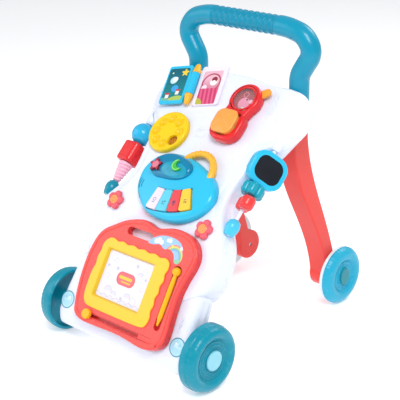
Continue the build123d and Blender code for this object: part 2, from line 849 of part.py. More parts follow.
with BuildPart() as piano_dome:
    with BuildSketch(PLAY.offset(PIANO_H)):
        with BuildLine():
            Spline(*DOME_OUTLINE, periodic=True)
        make_face()
    extrude(amount=DOME_H)
    fillet(piano_dome.faces().sort_by(OUT)[-1].edges(), 2.5)
    extrude(star_sketch(PLAY, STAR_R + GAP), amount=PIANO_H * 3, mode=Mode.SUBTRACT)
    extrude(moon_sketch(PLAY, GAP), amount=PIANO_H * 3, mode=Mode.SUBTRACT)
save(piano_dome, "piano_dome")

with BuildPart() as piano_back:
    with BuildSketch(PLAY.offset(GAP)):
        with BuildLine():
            Spline(*shrunk(PIANO_OUTLINE, PIANO_WALL + 0.2), periodic=True)
        make_face()
        add(fan_sector(FAN_IN - 3.2, FAN_OUT + 3.2, KEY_FAN[0] - 1.6, KEY_FAN[1] + 1.6), mode=Mode.SUBTRACT)
    extrude(amount=1.6)
save(piano_back, "piano_back")

BOARD_LOW = GAP + 1.6
with BuildPart() as circuit_board:
    with BuildSketch(PLAY.offset(BOARD_LOW)):
        with Locations((-14, -77)):
            Rectangle(45, 22)
    extrude(amount=1.6)
save(circuit_board, "circuit_board")

with BuildPart() as speaker:
    with BuildSketch(PLAY.offset(BOARD_LOW)):
        with Locations((-40, -107)):
            Circle(9.5)
    extrude(amount=3)
    with BuildSketch(PLAY.offset(BOARD_LOW + 3)):
        with Locations((-40, -107)):
            Circle(6)
    extrude(amount=2.5)
save(speaker, "speaker")

BUTTON_LOW = BOARD_LOW + 1.6 + BUTTON_TRAVEL + 0.5
with BuildPart() as star_button:
    extrude(star_sketch(PLAY.offset(BUTTON_LOW), STAR_R), amount=PIANO_H + DOME_H + 2.5 - BUTTON_LOW)
save(star_button, "star_button")

with BuildPart() as moon_button:
    extrude(moon_sketch(PLAY.offset(BUTTON_LOW), 0), amount=PIANO_H + DOME_H + 2.5 - BUTTON_LOW)
save(moon_button, "moon_button")

for number, angle in enumerate(KEY_ANGLES, 1):
    with BuildPart() as key:
        with BuildSketch(PLAY.offset(KEY_LOW)) as outline:
            add(fan_sector(FAN_IN, FAN_OUT, angle - KEY_HALF_ANGLE, angle + KEY_HALF_ANGLE))
            fillet(outline.vertices(), 2.5)
        extrude(amount=KEY_HIGH - KEY_LOW)
        fillet(key.faces().sort_by(OUT)[-1].edges(), 1)
    save(key, f"key_{number}")

RING_AT = (27.5, -65.5)
RING_R = 29.5
RING_ROD = 5.2
with BuildPart() as piano_handle:
    with BuildLine(PLAY.offset(8.2)) as ring_path:
        CenterArc(RING_AT, RING_R, -18, 178)
    with BuildSketch(Plane(origin=ring_path.line @ 0, x_dir=PLAY.z_dir, z_dir=ring_path.line % 0)):
        Circle(RING_ROD)
    sweep(path=ring_path.line)
    add(piano_solid, mode=Mode.SUBTRACT)
save(piano_handle, "piano_handle")

# ---------------------------------------------------------------- telephone dial
DIAL_AT = (-59.8, -15.5)
DIAL_R = 33.5
DIAL_H = 8.0
DIMPLE_R = 7.0
DIMPLE_RING = 20.5
DIMPLES = 8
DIMPLE_START = 10.0
DEEP_HOLE_ANGLE = DIMPLE_START + 7 * 360 / DIMPLES
DIAL_PIN_R = 4.0

with BuildPart() as phone_dial:
    with BuildSketch(PLAY.offset(GAP)):
        with Locations(DIAL_AT):
            Circle(DIAL_R)
    extrude(amount=DIAL_H - GAP)
    fillet(phone_dial.faces().sort_by(OUT)[-1].edges(), 3)
    with BuildSketch(PLAY.offset(DIAL_H - 3.5)):
        with Locations(DIAL_AT):
            with PolarLocations(DIMPLE_RING, DIMPLES, start_angle=DIMPLE_START):
                Circle(DIMPLE_R)
    extrude(amount=DIAL_H, mode=Mode.SUBTRACT)
    with BuildSketch(PLAY):
        with Locations(DIAL_AT):
            Circle(DIAL_PIN_R + RUN)
            with PolarLocations(DIMPLE_RING, 1, start_angle=DEEP_HOLE_ANGLE):
                Circle(DIMPLE_R + 1)
    extrude(amount=DIAL_H - 1.5, mode=Mode.SUBTRACT)
save(phone_dial, "phone_dial")

with BuildPart() as dial_hub:
    with BuildSketch(PLAY):
        with Locations(DIAL_AT):
            Circle(DIAL_PIN_R)
    extrude(amount=DIAL_H - 1.8)
save(dial_hub, "dial_hub")

# ---------------------------------------------------------------- book
BOOK_AT = (-64.5, 65.5)
BOOK_TURN = 14.7
BARREL_R = 6.4
BARREL_H = 7.0
PIN_R = 1.8
PAGE_T = 2.6
BOOK = shifted(PLAY, *BOOK_AT, 0, BOOK_TURN)


def barrel(y_low, y_high, radius, hole):
    """Round piece along the book's spine."""
    place = shifted(BOOK, 0, y_low, BARREL_H)
    with BuildPart() as piece:
        with BuildSketch(Plane(origin=place.origin, x_dir=BOOK.x_dir, z_dir=BOOK.y_dir)):
            Circle(radius)
            if hole:
                Circle(hole, mode=Mode.SUBTRACT)
        extrude(amount=y_high - y_low)
    return piece.part


with BuildPart() as book_posts:
    add(barrel(-34.5, -18, BARREL_R, 0))
    add(barrel(19.5, 35.5, BARREL_R, 0))
    add(barrel(-18, 19.5, PIN_R, 0))
save(book_posts, "book_posts")

with BuildPart() as book_page:
    add(barrel(-17.5, 19, BARREL_R, PIN_R + RUN))
    with BuildSketch(BOOK.offset(BARREL_H - PAGE_T / 2)) as leaf:
        with Locations((-29, 1)):
            Rectangle(42, 67)
        fillet(leaf.vertices(), 4)
    extrude(amount=PAGE_T)
    with BuildSketch(BOOK.offset(BARREL_H - PAGE_T / 2)):
        with Locations((-7.5, 1)):
            Rectangle(8, 35)
    extrude(amount=PAGE_T)
    add(barrel(-17.5, 19, PIN_R + RUN, 0), mode=Mode.SUBTRACT)
save(book_page, "book_page")

with BuildPart() as book_leaf:
    with BuildSketch(BOOK) as leaf:
        with Locations((30, -1)):
            Rectangle(45, 68)
        fillet(leaf.vertices(), 4)
    extrude(amount=4)
save(book_leaf, "book_leaf")

# ---------------------------------------------------------------- peek-a-boo window unit
LOBE_UP = (45.0, 58.0)
LOBE_DOWN = (39.0, 15.0)
LOBE_UP_R = 25.0
LOBE_DOWN_R = 23.5
PEEK_H = 16.0
WINDOW_R = 18.0
LENS_T = 2.0
DISC_R = 19.0
DISC_LOW = 7.0
KNOB_SIDE = 35.0
KNOB_CORNER_R = 12.0
KNOB_TOP = 26.0
KNOB_TRAVEL = 4.0
TAB_ANGLE = 36.0
TAB_SWING = 18.0
TAB_ROOM = 18.5  # half angle that the tab itself takes at the housing's inner wall


def lobe_points(centre, radius, angles):
    """Places on a lobe's edge at some angles."""
    return [(centre[0] + radius * cos(radians(a)), centre[1] + radius * sin(radians(a))) for a in angles]


PEEK_OUTLINE = lobe_points(LOBE_UP, LOBE_UP_R, (-35, 5, 45, 90, 135, 175, 210))
PEEK_OUTLINE += lobe_points(LOBE_DOWN, LOBE_DOWN_R, (150, 190, 230, 270, 310, 350, 27))

with BuildPart() as peek_housing:
    with BuildSketch(PLAY):
        with BuildLine():
            Spline(*PEEK_OUTLINE, periodic=True)
        make_face()
    extrude(amount=PEEK_H)
    fillet(peek_housing.faces().sort_by(OUT)[-1].edges(), 2.5)
    with BuildSketch(PLAY.offset(2.4)):
        with Locations(LOBE_UP):
            Circle(DISC_R + 2.5)
    extrude(amount=PEEK_H - 2.4 - LENS_T - 2.4, mode=Mode.SUBTRACT)
    with BuildSketch(PLAY.offset(2.4)):
        with Locations(LOBE_UP):
            Circle(WINDOW_R)
        with Locations(LOBE_DOWN):
            RectangleRounded(KNOB_SIDE + 2 * GAP, KNOB_SIDE + 2 * GAP, KNOB_CORNER_R)
    extrude(amount=PEEK_H, mode=Mode.SUBTRACT)
    tab_plane = shifted(PLAY, *LOBE_UP, DISC_LOW - GAP, TAB_ANGLE)
    with BuildSketch(tab_plane):
        with BuildLine():
            near = CenterArc((0, 0), 10, -TAB_SWING - TAB_ROOM, 2 * (TAB_SWING + TAB_ROOM))
            far = CenterArc((0, 0), LOBE_UP_R + 8, -TAB_SWING - TAB_ROOM, 2 * (TAB_SWING + TAB_ROOM))
            Line(near @ 0, far @ 0)
            Line(near @ 1, far @ 1)
        make_face()
    extrude(amount=3 + 2 * GAP, mode=Mode.SUBTRACT)
save(peek_housing, "peek_housing")

with BuildPart() as peek_window:
    with BuildSketch(PLAY.offset(PEEK_H - LENS_T - 1.2)):
        with Locations(LOBE_UP):
            Circle(WINDOW_R - 0.05)
    extrude(amount=LENS_T)
save(peek_window, "peek_window")

with BuildPart() as peek_lever:
    with BuildSketch(PLAY.offset(DISC_LOW)):
        with Locations(LOBE_UP):
            Circle(DISC_R)
    extrude(amount=3)
    with BuildSketch(shifted(PLAY, *LOBE_UP, DISC_LOW, TAB_ANGLE)):
        with Locations((DISC_R + 8, 0)):
            SlotOverall(24, 12)
    extrude(amount=3)
save(peek_lever, "peek_lever")

with BuildPart() as peek_knob:
    with BuildSketch(PLAY.offset(2.4 + KNOB_TRAVEL + GAP)):
        with Locations(LOBE_DOWN):
            RectangleRounded(KNOB_SIDE, KNOB_SIDE, KNOB_CORNER_R)
    extrude(amount=KNOB_TOP - 2.4 - KNOB_TRAVEL - GAP)
    fillet(peek_knob.faces().sort_by(OUT)[-1].edges(), 5)
save(peek_knob, "peek_knob")

# ---------------------------------------------------------------- flower badges
FLOWER_X = 86.5
FLOWER_V = -4.0
PETALS = 5
with BuildPart() as flower_badges:
    for side in (-1, 1):
        place = shifted(FOLD, side * FLOWER_X, FLOWER_V, 0.3, 12)
        with BuildSketch(place):
            Circle(9.6)
            with PolarLocations(8.6, PETALS):
                Circle(5.8)
        extrude(amount=4.2)
        with BuildSketch(place.offset(4.2)):
            Circle(6.5)
        extrude(amount=1)
save(flower_badges, "flower_badges")

# ---------------------------------------------------------------- side spindles, beads and mirror
BORE = SPINDLE_R + RUN


def bead_plane(side, v):
    """Plane across a side spindle: x across the walker, z up along the spindle."""
    base = shifted(PLAY, side * SPINDLE_X, v, -SPINDLE_DEEP)
    return Plane(origin=base.origin, x_dir=(1, 0, 0), z_dir=base.y_dir)


def bead(side, v, profile):
    """Turned bead about a spindle from (radius, length) points, with its bore."""
    place = bead_plane(side, v)
    with BuildPart() as solid:
        with BuildSketch(Plane(origin=place.origin, x_dir=place.x_dir, z_dir=-place.y_dir)):
            with BuildLine():
                Polyline(*profile, close=True)
            make_face()
        revolve(axis=Axis(place.origin, place.z_dir))
    return solid


with BuildPart() as spindle_rods:
    add(spindle_bar(SPINDLE_R, SPINDLE_LOW_V, SPINDLE_HIGH_V))
save(spindle_rods, "spindle_rods")


def seat(side, v, profile):
    """Socket that holds a spindle's end, trimmed to the panel's side."""
    solid = bead(side, v, profile)
    with BuildPart() as trimmed:
        add(solid.part)
        add(panel_outside, mode=Mode.SUBTRACT)
    biggest = trimmed.part.solids().sort_by(SortBy.VOLUME)[-1]
    return biggest


LOW_SEAT = [(SPINDLE_R, 0), (7, 0), (8.8, 6), (10, 11), (10, 15), (8, 21), (5, 23.5), (SPINDLE_R, 23.5)]
LOW_SEAT_V = SPINDLE_LOW_V
HIGH_SEAT_VS = ((-1, -6.6), (1, 3.6))
HIGH_SEAT_END = 15.0

for side, name in ((-1, "left"), (1, "right")):
    with BuildPart() as low_seat:
        add(seat(side, LOW_SEAT_V, LOW_SEAT))
    save(low_seat, f"lower_seat_{name}")

with BuildPart() as upper_seats:
    for side, v in HIGH_SEAT_VS:
        length = HIGH_SEAT_END - v
        add(seat(side, v, [(SPINDLE_R, 0), (5.5, 0), (7.2, 3), (7.2, length), (SPINDLE_R, length)]))
save(upper_seats, "upper_seats")

cone_bead = bead(
    -1,
    -106.5,
    [(BORE, 0), (5, 0), (5.8, 7), (6.4, 7), (7.3, 14), (8, 14), (9.2, 22), (10, 22), (11.5, 31), (BORE, 31)],
)
save(cone_bead, "cone_bead")

with BuildPart() as block_bead:
    with BuildSketch(bead_plane(-1, -74.8)):
        RectangleRounded(30, 30, 8)
        Circle(BORE, mode=Mode.SUBTRACT)
    extrude(amount=32)
    ends = block_bead.faces().sort_by(Axis(bead_plane(-1, 0).origin, PLAY.y_dir))
    fillet(ends[0].outer_wire().edges() + ends[-1].outer_wire().edges(), 3.5)
save(block_bead, "block_bead")

BALL_R = 17.5
BALL_V = -24.4
with BuildPart() as ball_bead:
    place = bead_plane(-1, BALL_V)
    with BuildSketch(Plane(origin=place.origin, x_dir=place.x_dir, z_dir=-place.y_dir)):
        with BuildLine():
            half = (BALL_R**2 - BORE**2) ** 0.5
            ThreePointArc((BORE, -half), (BALL_R, 0), (BORE, half))
            Line((BORE, half), (BORE, -half))
        make_face()
    revolve(axis=Axis(place.origin, place.z_dir))
save(ball_bead, "ball_bead")

with BuildPart() as bean_bead:
    with BuildSketch(bead_plane(1, -91)) as bean:
        with Locations((7, -6), (-7, 6)):
            Circle(10.5)
        with Locations((0, 0)):
            Rectangle(18, 15, rotation=-40)
        Circle(BORE, mode=Mode.SUBTRACT)
    extrude(amount=20)
save(bean_bead, "bean_bead")

with BuildPart() as flower_bead:
    with BuildSketch(bead_plane(1, -69)):
        Circle(12)
        with PolarLocations(11.5, 6):
            Circle(5.6)
        Circle(BORE, mode=Mode.SUBTRACT)
    extrude(amount=18)
save(flower_bead, "flower_bead")

MIRROR_TURN = 60.0
MIRROR_W = 55.0
MIRROR_L = 49.5
MIRROR_V = -25.4
MIRROR_T = 11.0
MIRROR_BACK = -5.0  # back of the frame from the spindle's axis, along the mirror's normal
MIRROR_SHIFT = 3.8  # middle of the frame from the spindle's axis, across it
GLASS_H = 3.6
GLASS_T = 1.5
FRAME_RIM = 7.0


def mirror_plane(h):
    """Plane of the mirror, turned outwards about the right spindle: y runs along the spindle."""
    place = bead_plane(1, MIRROR_V)
    turn = radians(MIRROR_TURN)
    normal = PLAY.z_dir * cos(turn) + Vector(1, 0, 0) * sin(turn)
    return Plane(origin=place.origin + normal * h, x_dir=PLAY.y_dir.cross(normal), z_dir=normal)


with BuildPart() as mirror_frame:
    with BuildSketch(mirror_plane(MIRROR_BACK)):
        with Locations((MIRROR_SHIFT, 0)):
            RectangleRounded(MIRROR_W, MIRROR_L, 19)
    extrude(amount=MIRROR_T)
    fillet(mirror_frame.faces().sort_by(Axis(mirror_plane(0).origin, mirror_plane(0).z_dir))[-1].edges(), 2.5)
    with BuildSketch(mirror_plane(GLASS_H)):
        with Locations((MIRROR_SHIFT, 0)):
            RectangleRounded(MIRROR_W - 2 * FRAME_RIM, MIRROR_L - 2 * FRAME_RIM, 13)
    extrude(amount=MIRROR_T, mode=Mode.SUBTRACT)
    add(spindle_bar(BORE, -90, 20), mode=Mode.SUBTRACT)
save(mirror_frame, "mirror_frame")

with BuildPart() as mirror_glass:
    with BuildSketch(mirror_plane(GLASS_H)):
        with Locations((MIRROR_SHIFT, 0)):
            RectangleRounded(MIRROR_W - 2 * FRAME_RIM - 0.2, MIRROR_L - 2 * FRAME_RIM - 0.2, 12.9)
    extrude(amount=GLASS_T)
save(mirror_glass, "mirror_glass")
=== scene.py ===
"""Finishes and moulded skins of a baby walker, built around its fixed frame."""

import json
from math import atan2, cos, degrees, hypot, pi, radians, sin, sqrt, tan, tau

import bmesh
import bpy
from bpy.props import FloatProperty, FloatVectorProperty, IntProperty, PointerProperty
from mathutils import Matrix, Vector


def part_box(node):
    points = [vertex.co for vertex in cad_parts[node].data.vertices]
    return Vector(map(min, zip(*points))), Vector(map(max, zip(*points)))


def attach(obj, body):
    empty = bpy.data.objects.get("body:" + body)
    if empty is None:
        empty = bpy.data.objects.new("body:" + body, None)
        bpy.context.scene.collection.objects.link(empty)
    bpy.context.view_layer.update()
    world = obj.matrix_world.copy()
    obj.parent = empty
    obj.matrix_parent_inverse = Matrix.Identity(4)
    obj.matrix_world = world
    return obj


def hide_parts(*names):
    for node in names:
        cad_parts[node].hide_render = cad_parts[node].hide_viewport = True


bl_info = {
    "name": "Baby Walker Looks",
    "version": (1, 0, 0),
    "blender": (4, 5, 0),
    "location": "View3D > Sidebar > Walker",
    "description": "Builds the moulded skins, prints and finishes of a baby walker around its frame",
    "category": "Object",
}

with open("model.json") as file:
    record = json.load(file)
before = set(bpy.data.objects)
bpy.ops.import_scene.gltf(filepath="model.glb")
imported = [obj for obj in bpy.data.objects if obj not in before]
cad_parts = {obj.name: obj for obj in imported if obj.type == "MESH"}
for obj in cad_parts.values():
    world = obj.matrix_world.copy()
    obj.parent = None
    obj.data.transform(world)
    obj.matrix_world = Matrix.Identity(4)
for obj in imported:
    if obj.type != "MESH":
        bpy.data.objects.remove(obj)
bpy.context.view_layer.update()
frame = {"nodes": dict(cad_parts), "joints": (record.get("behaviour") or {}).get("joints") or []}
NODES = frame["nodes"]
JOINTS = {joint["name"]: joint for joint in frame["joints"]}
MM = 0.001
SIDES = ((-1, "left"), (1, "right"))


# ---------------------------------------------------------------- flat places on the walker
class Face:
    """A flat place: across, up and out are unit directions, and its own sizes are in millimetres."""

    def __init__(self, origin, out, across=(1, 0, 0)):
        self.origin = Vector(origin)
        self.out = Vector(out).normalized()
        self.across = Vector(across).normalized()
        self.up = self.out.cross(self.across)

    def at(self, u, v, h=0.0):
        """Point in metres."""
        return self.origin + (self.across * u + self.up * v + self.out * h) * MM

    def moved(self, u, v, h=0.0, turn=0.0):
        """The same face moved in itself and out of it, then turned about its own normal."""
        across = self.across * cos(radians(turn)) + self.up * sin(radians(turn))
        return Face(self.at(u, v, h), self.out, across)

    def matrix(self):
        """Placement of a mesh drawn in millimetres in this face."""
        columns = Matrix((self.across, self.up, self.out)).transposed().to_4x4()
        return Matrix.Translation(self.origin) @ columns @ Matrix.Scale(MM, 4)


def middle(node):
    """Middle of a node's box."""
    low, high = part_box(node)
    return (low + high) / 2


DIAL_U, DIAL_V, DIAL_PIVOT_H = -59.8, -15.5, 4.0
PLAY = Face(JOINTS["dial_turn"]["pos_m"], JOINTS["dial_turn"]["axis"]).moved(-DIAL_U, -DIAL_V, -DIAL_PIVOT_H)
SCREEN_U, SCREEN_MID_H = -8.0, 6.5
BOARD = Face(middle("board_screen"), JOINTS["board_lift"]["axis"]).moved(-SCREEN_U, 0, -SCREEN_MID_H)
FOLD_V = 105.6  # from the board's middle up to the fold
DIAL = PLAY.moved(DIAL_U, DIAL_V)
LOBE_UP, LOBE_DOWN = (45.0, 58.0), (39.0, 15.0)
BOOK = PLAY.moved(-64.5, 65.5, 0, 14.7)


# ---------------------------------------------------------------- shader maths
class Wire:
    """A value in a material. Python's operators on it add Math nodes."""

    def __init__(self, paint, socket):
        self.paint = paint
        self.socket = socket

    def maths(self, operation, *values, clamp=False):
        """One Math node on these values."""
        return self.paint.node(
            "ShaderNodeMath", {"operation": operation, "use_clamp": clamp}, dict(enumerate(values))
        )

    def __add__(self, other):
        return self.maths("ADD", self, other)

    def __sub__(self, other):
        return self.maths("SUBTRACT", self, other)

    def __mul__(self, other):
        return self.maths("MULTIPLY", self, other)

    def __truediv__(self, other):
        return self.maths("DIVIDE", self, other)

    def __rsub__(self, other):
        return self.maths("SUBTRACT", other, self)

    def __rtruediv__(self, other):
        return self.maths("DIVIDE", other, self)

    def __neg__(self):
        return self * -1.0

    def __abs__(self):
        return self.maths("ABSOLUTE", self)

    __radd__ = __add__
    __rmul__ = __mul__

    def held(self):
        """The value kept from 0 to 1."""
        return self.maths("ADD", self, 0.0, clamp=True)

    def most(self, other):
        return self.maths("MAXIMUM", self, other)

    def wave(self):
        return self.maths("SINE", self)


class Paint:
    """One finish in the making: a material whose other nodes all come from node()."""

    def __init__(self, name):
        self.material = bpy.data.materials.new(name)
        self.material.use_nodes = True
        self.tree = self.material.node_tree
        self.shader = next(n for n in self.tree.nodes if n.type == "BSDF_PRINCIPLED")
        self.place = self.node("ShaderNodeTexCoord", output="Object")

    def node(self, kind, settings=None, inputs=None, output=0):
        """Add a node, with its settings first and then its sockets' values or links."""
        made = self.tree.nodes.new(kind)
        for key, value in (settings or {}).items():
            if key == "stops":
                self.set_stops(made.color_ramp, value)
            else:
                setattr(made, key, value)
        for key, value in (inputs or {}).items():
            if isinstance(value, Wire):
                self.tree.links.new(value.socket, made.inputs[key])
            else:
                made.inputs[key].default_value = value
        return Wire(self, made.outputs[output])

    def set_stops(self, ramp, stops):
        """Colour stops of a ramp, as (place, colour)."""
        while len(ramp.elements) < len(stops):
            ramp.elements.new(0.5)
        for element, (place, colour) in zip(ramp.elements, stops):
            element.position = place
            element.color = colour

    def noise(self, scale, detail=2.0, place=None):
        """Soft noise from 0 to 1, with features of about 1/scale metres."""
        return self.node(
            "ShaderNodeTexNoise", {}, {"Vector": place or self.place, "Scale": scale, "Detail": detail}
        )

    def mix(self, share, low, high):
        """Colour between low and high."""
        settings = {"data_type": "RGBA"}
        return self.node("ShaderNodeMix", settings, {0: share, 6: low, 7: high}, output=2)

    def measure(self, face):
        """Where a point is in a face: across, up and out, in millimetres."""
        shift = self.node(
            "ShaderNodeVectorMath", {"operation": "SUBTRACT"}, {0: self.place, 1: face.origin}
        )
        return [
            self.node(
                "ShaderNodeVectorMath", {"operation": "DOT_PRODUCT"}, {0: shift, 1: way / MM}, output="Value"
            )
            for way in (face.across, face.up, face.out)
        ]

    def angle(self, u, v):
        """Angle of a place about the face's middle, in radians."""
        return self.node("ShaderNodeMath", {"operation": "ARCTAN2"}, {0: v, 1: u})

    def connect(self, socket, value):
        """Give one socket of the shader a value or a wire."""
        if isinstance(value, Wire):
            self.tree.links.new(value.socket, self.shader.inputs[socket])
        else:
            self.shader.inputs[socket].default_value = value

    def bump(self, height, strength, distance):
        """Bump the surface by a height."""
        made = self.node(
            "ShaderNodeBump", {}, {"Height": height, "Strength": strength, "Distance": distance}
        )
        self.connect("Normal", made)


def reach(u, v):
    """Distance of a place from the middle."""
    return (u * u + v * v).maths("SQRT", u * u + v * v)


def inside(distance, soft=0.35):
    """Mask of what lies within an edge, where distance is below 0."""
    return (0.5 - distance / soft).held()


def disc(u, v, at_u, at_v, radius, soft=0.35):
    """Mask of a round patch."""
    return inside(reach(u - at_u, v - at_v) - radius, soft)


def bar(u, v, at_u, at_v, half_u, half_v, corner=0.5, soft=0.35, turn=0.0):
    """Mask of a rounded bar, turned by some degrees."""
    a, b = u - at_u, v - at_v
    if turn:
        c, s = cos(radians(turn)), sin(radians(turn))
        a, b = a * c + b * s, b * c - a * s
    over_u = (abs(a) - (half_u - corner)).most(0.0)
    over_v = (abs(b) - (half_v - corner)).most(0.0)
    return inside(reach(over_u, over_v) - corner, soft)


def ring(u, v, at_u, at_v, radius, width, soft=0.35):
    """Mask of a thin ring."""
    return inside(abs(reach(u - at_u, v - at_v) - radius) - width / 2, soft)


def hill(u, v, at_u, at_v, radius, soft=0.35):
    """Mask of a half disc that stands on a level line."""
    return disc(u, v, at_u, at_v, radius, soft) * inside(at_v - v, soft)


def star_mask(paint, u, v, at_u, at_v, radius, points=5, soft=0.35):
    """Mask of a plump star."""
    a, b = u - at_u, v - at_v
    swing = (paint.angle(a, b) * float(points)).wave()
    return inside(reach(a, b) - (radius * 0.76 + swing * (radius * 0.24)), soft)


def tint(text):
    """Linear colour from six hex digits of a display colour."""
    channels = [int(text[i : i + 2], 16) / 255 for i in (0, 2, 4)]
    return tuple(c / 12.92 if c <= 0.04045 else ((c + 0.055) / 1.055) ** 2.4 for c in channels)


def opaque(colour):
    """The same colour with an alpha of 1."""
    return (*colour[:3], 1.0)


def shade(colour, amount):
    """A colour made darker, or lighter where the amount is above 1."""
    return opaque([min(1.0, c * amount) for c in colour[:3]])


# ---------------------------------------------------------------- finishes
def colours():
    return bpy.context.scene.walker_colours


def sizes():
    return bpy.context.scene.walker_sizes


def plastic(name, colour, roughness=0.3, coat=0.2, grain=0.05, pattern=None, scatter=0.0):
    """Moulded plastic: a little uneven in colour and gloss, with a fine moulded grain."""
    paint = Paint(name)
    cloud = paint.noise(22.0, 3.0)
    base = paint.mix(cloud, shade(colour, 0.955), shade(colour, 1.03))
    if pattern:
        base = pattern(paint, base)
    paint.connect("Base Color", base)
    smear = paint.noise(75.0, 4.0)
    paint.connect("Roughness", smear * 0.09 + (roughness - 0.045))
    paint.connect("Coat Weight", coat)
    paint.connect("Coat Roughness", 0.12)
    paint.connect("IOR", 1.45)
    paint.connect("Specular IOR Level", 0.3)
    if scatter:
        paint.connect("Subsurface Weight", scatter)
        paint.connect("Subsurface Radius", (0.004, 0.004, 0.005))
        paint.connect("Subsurface Scale", 1.0)
    orange_peel = paint.noise(420.0, 1.0) + paint.noise(1900.0, 2.0) * 0.5
    paint.bump(orange_peel, grain, 0.0004)
    return paint.material


def metal(name, colour, roughness):
    """Plated steel with fine drawn lines along it."""
    paint = Paint(name)
    lines = paint.noise(900.0, 3.0)
    paint.connect("Base Color", paint.mix(lines, shade(colour, 0.85), opaque(colour)))
    paint.connect("Metallic", 1.0)
    paint.connect("Roughness", lines * 0.15 + (roughness - 0.07))
    paint.bump(lines, 0.08, 0.0002)
    return paint.material


def clear_plastic(name):
    """Clear cover of the window, with a faint haze."""
    paint = Paint(name)
    haze = paint.noise(60.0, 3.0)
    paint.connect("Base Color", (1.0, 1.0, 1.0, 1.0))
    paint.connect("Roughness", haze * 0.05 + 0.03)
    paint.connect("Alpha", haze * 0.03 + 0.05)
    paint.connect("Coat Weight", 0.3)
    paint.connect("Coat Roughness", 0.04)
    return paint.material


def give(node_or_piece, material):
    """Put one material on a node or a piece."""
    piece = NODES[node_or_piece] if isinstance(node_or_piece, str) else node_or_piece
    piece.data.materials.clear()
    piece.data.materials.append(material)
    return piece


# ---------------------------------------------------------------- mesh making
SMOOTH_ANGLE = radians(38)


def finish_piece(name, points, faces, body, material, slot, replaced=(), smooth=SMOOTH_ANGLE):
    """Make one piece from points in metres, put it on a body and give it its material."""
    mesh = bpy.data.meshes.new(name)
    mesh.from_pydata([tuple(p) for p in points], [], faces)
    return finish_mesh(name, mesh, body, material, slot, replaced, smooth)


def finish_mesh(name, mesh, body, material, slot, replaced=(), smooth=SMOOTH_ANGLE):
    """Turn the faces outwards, shade them smooth up to an angle and put the piece on a body."""
    work = bmesh.new()
    work.from_mesh(mesh)
    bmesh.ops.remove_doubles(work, verts=work.verts, dist=1e-6)
    bmesh.ops.recalc_face_normals(work, faces=work.faces)
    for edge in work.edges:
        edge.smooth = len(edge.link_faces) == 2 and edge.calc_face_angle(0) < smooth
    for face in work.faces:
        face.smooth = True
    work.to_mesh(mesh)
    work.free()
    piece = bpy.data.objects.new(name, mesh)
    bpy.context.scene.collection.objects.link(piece)
    piece.data.materials.append(material)
    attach(piece, body)
    if replaced:
        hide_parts(*replaced)
    return piece


def baked(piece):
    """Apply every modifier of a piece to its mesh."""
    bpy.context.view_layer.update()
    graph = bpy.context.evaluated_depsgraph_get()
    mesh = bpy.data.meshes.new_from_object(piece.evaluated_get(graph))
    old = piece.data
    piece.modifiers.clear()
    piece.data = mesh
    mesh.name = old.name
    bpy.data.meshes.remove(old)
    return piece


def strips(rows, columns, closed_rows=False, closed_columns=False):
    """Quads of a grid whose points are listed row by row."""
    faces = []
    for i in range(rows if closed_rows else rows - 1):
        for j in range(columns if closed_columns else columns - 1):
            a = i * columns + j
            b = i * columns + (j + 1) % columns
            c = (i + 1) % rows * columns + (j + 1) % columns
            d = (i + 1) % rows * columns + j
            faces.append((a, b, c, d))
    return faces


def spline(points, steps=8, closed=True):
    """Smooth line through some points, as more points."""
    made = []
    count = len(points)
    last = count if closed else count - 1
    for i in range(last):
        ring_of = [
            points[(i + k) % count] if closed else points[max(0, min(count - 1, i + k))] for k in (
                -1, 0, 1, 2
            )
        ]
        for step in range(steps):
            t = step / steps
            made.append(tuple(catmull(axis, t) for axis in zip(*ring_of)))
    if not closed:
        made.append(tuple(points[-1]))
    return made


def catmull(values, t):
    """Catmull-Rom value between the second and third of four numbers."""
    a, b, c, d = values
    return 0.5 * (2 * b + (c - a) * t + (2 * a - 5 * b + 4 * c - d) * t * t + (3 * b - a - 3 * c + d) * t**3)


def grown(outline, amount):
    """Closed outline moved outwards by a distance, or inwards where it is below 0."""
    area = sum(a[0] * b[1] - b[0] * a[1] for a, b in zip(outline, outline[1:] + outline[:1]))
    way = 1 if area > 0 else -1
    made = []
    for before, here, after in zip(outline[-1:] + outline[:-1], outline, outline[1:] + outline[:1]):
        along = Vector((after[0] - before[0], after[1] - before[1])).normalized()
        made.append((here[0] + along.y * amount * way, here[1] - along.x * amount * way))
    return made


def circle(u, v, radius, steps=64):
    """Round outline."""
    return [(u + radius * cos(tau * i / steps), v + radius * sin(tau * i / steps)) for i in range(steps)]


def rounded_box(u, v, half_u, half_v, corner, steps=8):
    """Outline of a box with round corners."""
    made = []
    for quarter, (su, sv) in enumerate(((1, 1), (-1, 1), (-1, -1), (1, -1))):
        for i in range(steps + 1):
            angle = radians(90 * quarter + 90 * i / steps)
            made.append(
                (
                    u + su * (half_u - corner) + corner * cos(angle),
                    v + sv * (half_v - corner) + corner * sin(angle),
                )
            )
    return made


